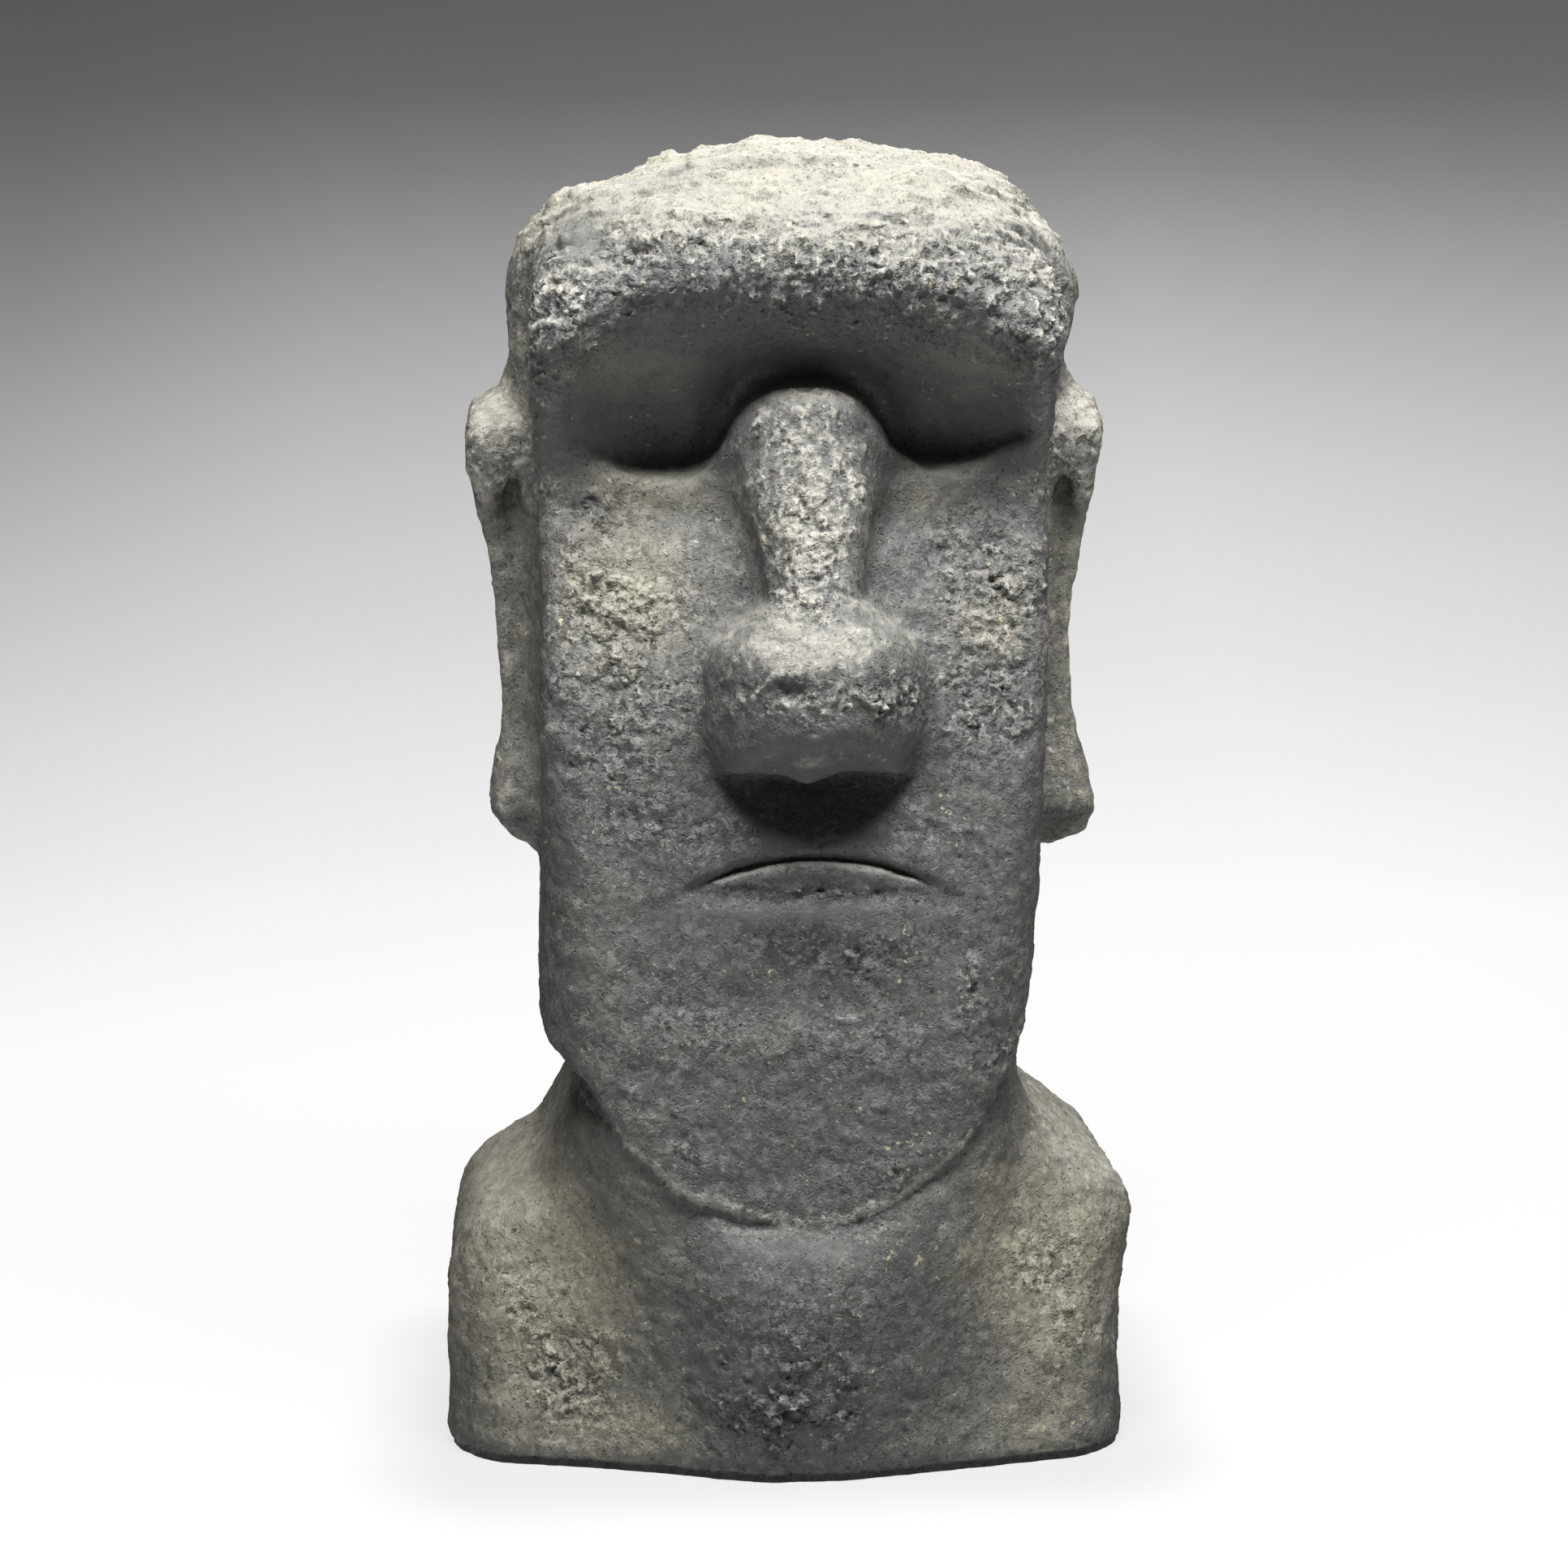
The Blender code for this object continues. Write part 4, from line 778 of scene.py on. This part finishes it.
# painted shade: the lowest few millimetres near black, for the shade in the gap under the foot
foot = N.add("ShaderNodeSeparateXYZ"); N.put(foot.inputs[0], where)
base = N.mix(N.ramp(foot.outputs["Z"], 0.0034, 0.0048, 1.0, 0.0), base, (0.020, 0.020, 0.020))
N.put(shader.inputs["Base Color"], base)
N.put(shader.inputs["Roughness"], N.ramp(N.noise(where, 240, 3), 0.3, 0.7, 0.44, 0.66))
shader.inputs["Specular IOR Level"].default_value = 0.5
shader.inputs["Metallic"].default_value = 0.0
fine.materials.clear()
fine.materials.append(stone)

# ---------------------------------------------------------------- the studio: a pale sweep that glows with painted light falloff and a painted shadow, a soft box above the front, one behind, low ambient
profile = [(0.0, 0.0), (0.45, 0.0), (0.9, 0.0), (1.35, 0.0)]
for i in range(1, 25):
    a = math.radians(90 * i / 24)
    profile.append((1.35 + 1.25 * math.sin(a), 1.25 * (1 - math.cos(a))))
profile += [(2.60, 2.2), (2.60, 3.6)]
bm = bmesh.new()
points = [bm.verts.new((r, 0, h)) for r, h in profile]
line = [bm.edges.new(pair) for pair in zip(points, points[1:])]
bmesh.ops.spin(bm, geom=points + line, cent=(0, 0, 0), axis=(0, 0, 1), angle=2 * math.pi, steps=96, use_merge=True)
bmesh.ops.remove_doubles(bm, verts=bm.verts[:], dist=1e-5)
bmesh.ops.recalc_face_normals(bm, faces=bm.faces[:])
bmesh.ops.reverse_faces(bm, faces=[f for f in bm.faces])
sweep_mesh = bpy.data.meshes.new("studio_sweep")
bm.to_mesh(sweep_mesh)
bm.free()
sweep_mesh.shade_smooth()
sweep = bpy.data.objects.new("studio_sweep", sweep_mesh)
bpy.context.scene.collection.objects.link(sweep)
paper = bpy.data.materials.new("studio_paper_painted_light")
paper.use_nodes = True
P = Nodes(paper.node_tree)
wall = paper.node_tree.nodes["Principled BSDF"]
xyz = P.add("ShaderNodeSeparateXYZ"); P.put(xyz.inputs[0], P.add("ShaderNodeNewGeometry").outputs["Position"])
def greys(value, stops):
    """A ramp of greys through (place, grey) stops."""
    node = P.add("ShaderNodeValToRGB")
    P.put(node.inputs[0], value)
    while len(node.color_ramp.elements) < len(stops):
        node.color_ramp.elements.new(1.0)
    for element, (at, grey) in zip(node.color_ramp.elements, stops):
        element.position = at
        element.color = (grey, grey, grey, 1.0)
    return node.outputs[0]
# painted light falloff: the wall's glow falls off into dark with height, sooner on the left
rise = P.math("POWER", P.math("MAXIMUM", xyz.outputs["Z"], 0.0), 0.5)
right = greys(rise, [(0.0, 0.90), (0.173, 0.855), (0.285, 0.81), (0.378, 0.76), (0.46, 0.71), (0.536, 0.645), (0.606, 0.56), (0.671, 0.465), (0.732, 0.355), (0.79, 0.235), (0.844, 0.142), (0.897, 0.112), (1.0, 0.09)])
left = greys(rise, [(0.0, 0.77), (0.173, 0.695), (0.285, 0.635), (0.378, 0.56), (0.46, 0.49), (0.536, 0.41), (0.606, 0.335), (0.671, 0.255), (0.732, 0.188), (0.79, 0.134), (0.844, 0.096), (0.897, 0.076), (1.0, 0.06)])
# painted light across the wall, brightest right of the middle
across = greys(P.ramp(xyz.outputs["X"], -1.2, 1.2, smooth=False), [(0.217, 0.0), (0.35, 0.45), (0.729, 1.0), (0.896, 0.70)])
flat = P.add("ShaderNodeVectorMath", operation="LENGTH"); P.put(flat.inputs[0], P.add("ShaderNodeNewGeometry").outputs["Position"])
paper_glow_painted_light = P.mix(P.ramp(flat.outputs["Value"], 0.70, 1.40), (0.885, 0.885, 0.890), P.mix(across, left, right))
# a painted shadow: a soft dark rim on the floor where the statue stands
out_x = P.math("MAXIMUM", P.math("SUBTRACT", P.math("ABSOLUTE", xyz.outputs["X"], 0.0), 0.120), 0.0)
out_y = P.math("MAXIMUM", P.math("SUBTRACT", P.math("ABSOLUTE", xyz.outputs["Y"], 0.0), 0.084), 0.0)
away_from = P.math("SQRT", P.math("ADD", P.math("MULTIPLY", out_x, out_x), P.math("MULTIPLY", out_y, out_y)), 0.0)
paper_glow_painted_light = P.mix(P.ramp(away_from, 0.024, 0.085, 0.24, 0.0), paper_glow_painted_light, (0.30, 0.30, 0.31))
# the sweep glows with this painted light and takes only a faint real light of its own
wall.inputs["Base Color"].default_value = (0.07, 0.07, 0.07, 1.0)
P.put(wall.inputs["Emission Color"], paper_glow_painted_light)
wall.inputs["Emission Strength"].default_value = 1.0
wall.inputs["Roughness"].default_value = 0.9
wall.inputs["Specular IOR Level"].default_value = 0.1
sweep_mesh.materials.append(paper)
sweep.visible_diffuse = False
sweep.visible_glossy = False

def soft_box(name, where, aim, across, deep, watts, colour=(1.0, 0.985, 0.96)):
    lamp = bpy.data.lights.new(name, "AREA")
    lamp.shape = "RECTANGLE"
    lamp.size, lamp.size_y = across, deep
    lamp.energy = watts
    lamp.color = colour
    ob = bpy.data.objects.new(name, lamp)
    ob.location = where
    ob.rotation_mode = "QUATERNION"
    ob.rotation_quaternion = (Vector(aim) - Vector(where)).to_track_quat("-Z", "Y")
    ob.visible_camera = False
    bpy.context.scene.collection.objects.link(ob)
    return ob

soft_box("key", (0.06, -0.555, 1.42), (0.0, -0.09, 0.34), 1.20, 0.42, 39.5)
soft_box("back", (0.25, 1.25, 1.05), (0.0, 0.10, 0.26), 0.90, 0.60, 13.0)
world = bpy.data.worlds.new("ambient")
bpy.context.scene.world = world
world.use_nodes = True
W = Nodes(world.node_tree)
way = W.add("ShaderNodeSeparateXYZ"); W.put(way.inputs[0], W.add("ShaderNodeTexCoord").outputs["Generated"])
W.put(world.node_tree.nodes["Background"].inputs["Color"], W.mix(W.ramp(way.outputs["Z"], -0.90, -0.20), (1.00, 1.00, 1.01), (0.020, 0.020, 0.021)))
world.node_tree.nodes["Background"].inputs["Strength"].default_value = 1.0

# ---------------------------------------------------------------- the camera
azimuth, pitch, away = math.radians(-3.6), math.radians(8.63), 1.45
lens = bpy.data.cameras.new("camera")
lens.sensor_width = 36.0
lens.lens = 36.0 * 4096 / 1932
lens.clip_start = 0.02
camera = bpy.data.objects.new("camera", lens)
camera.location = (away * math.sin(azimuth), -away * math.cos(azimuth), 0.50)
forward = Vector((-math.sin(azimuth) * math.cos(pitch), math.cos(azimuth) * math.cos(pitch), -math.sin(pitch)))
camera.rotation_mode = "QUATERNION"
camera.rotation_quaternion = forward.to_track_quat("-Z", "Y")
bpy.context.scene.collection.objects.link(camera)
bpy.context.scene.camera = camera
bpy.context.scene.view_settings.view_transform = "Standard"
bpy.context.scene.view_settings.look = "None"

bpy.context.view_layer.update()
print("scene made in %.1f s" % (time.time() - started))
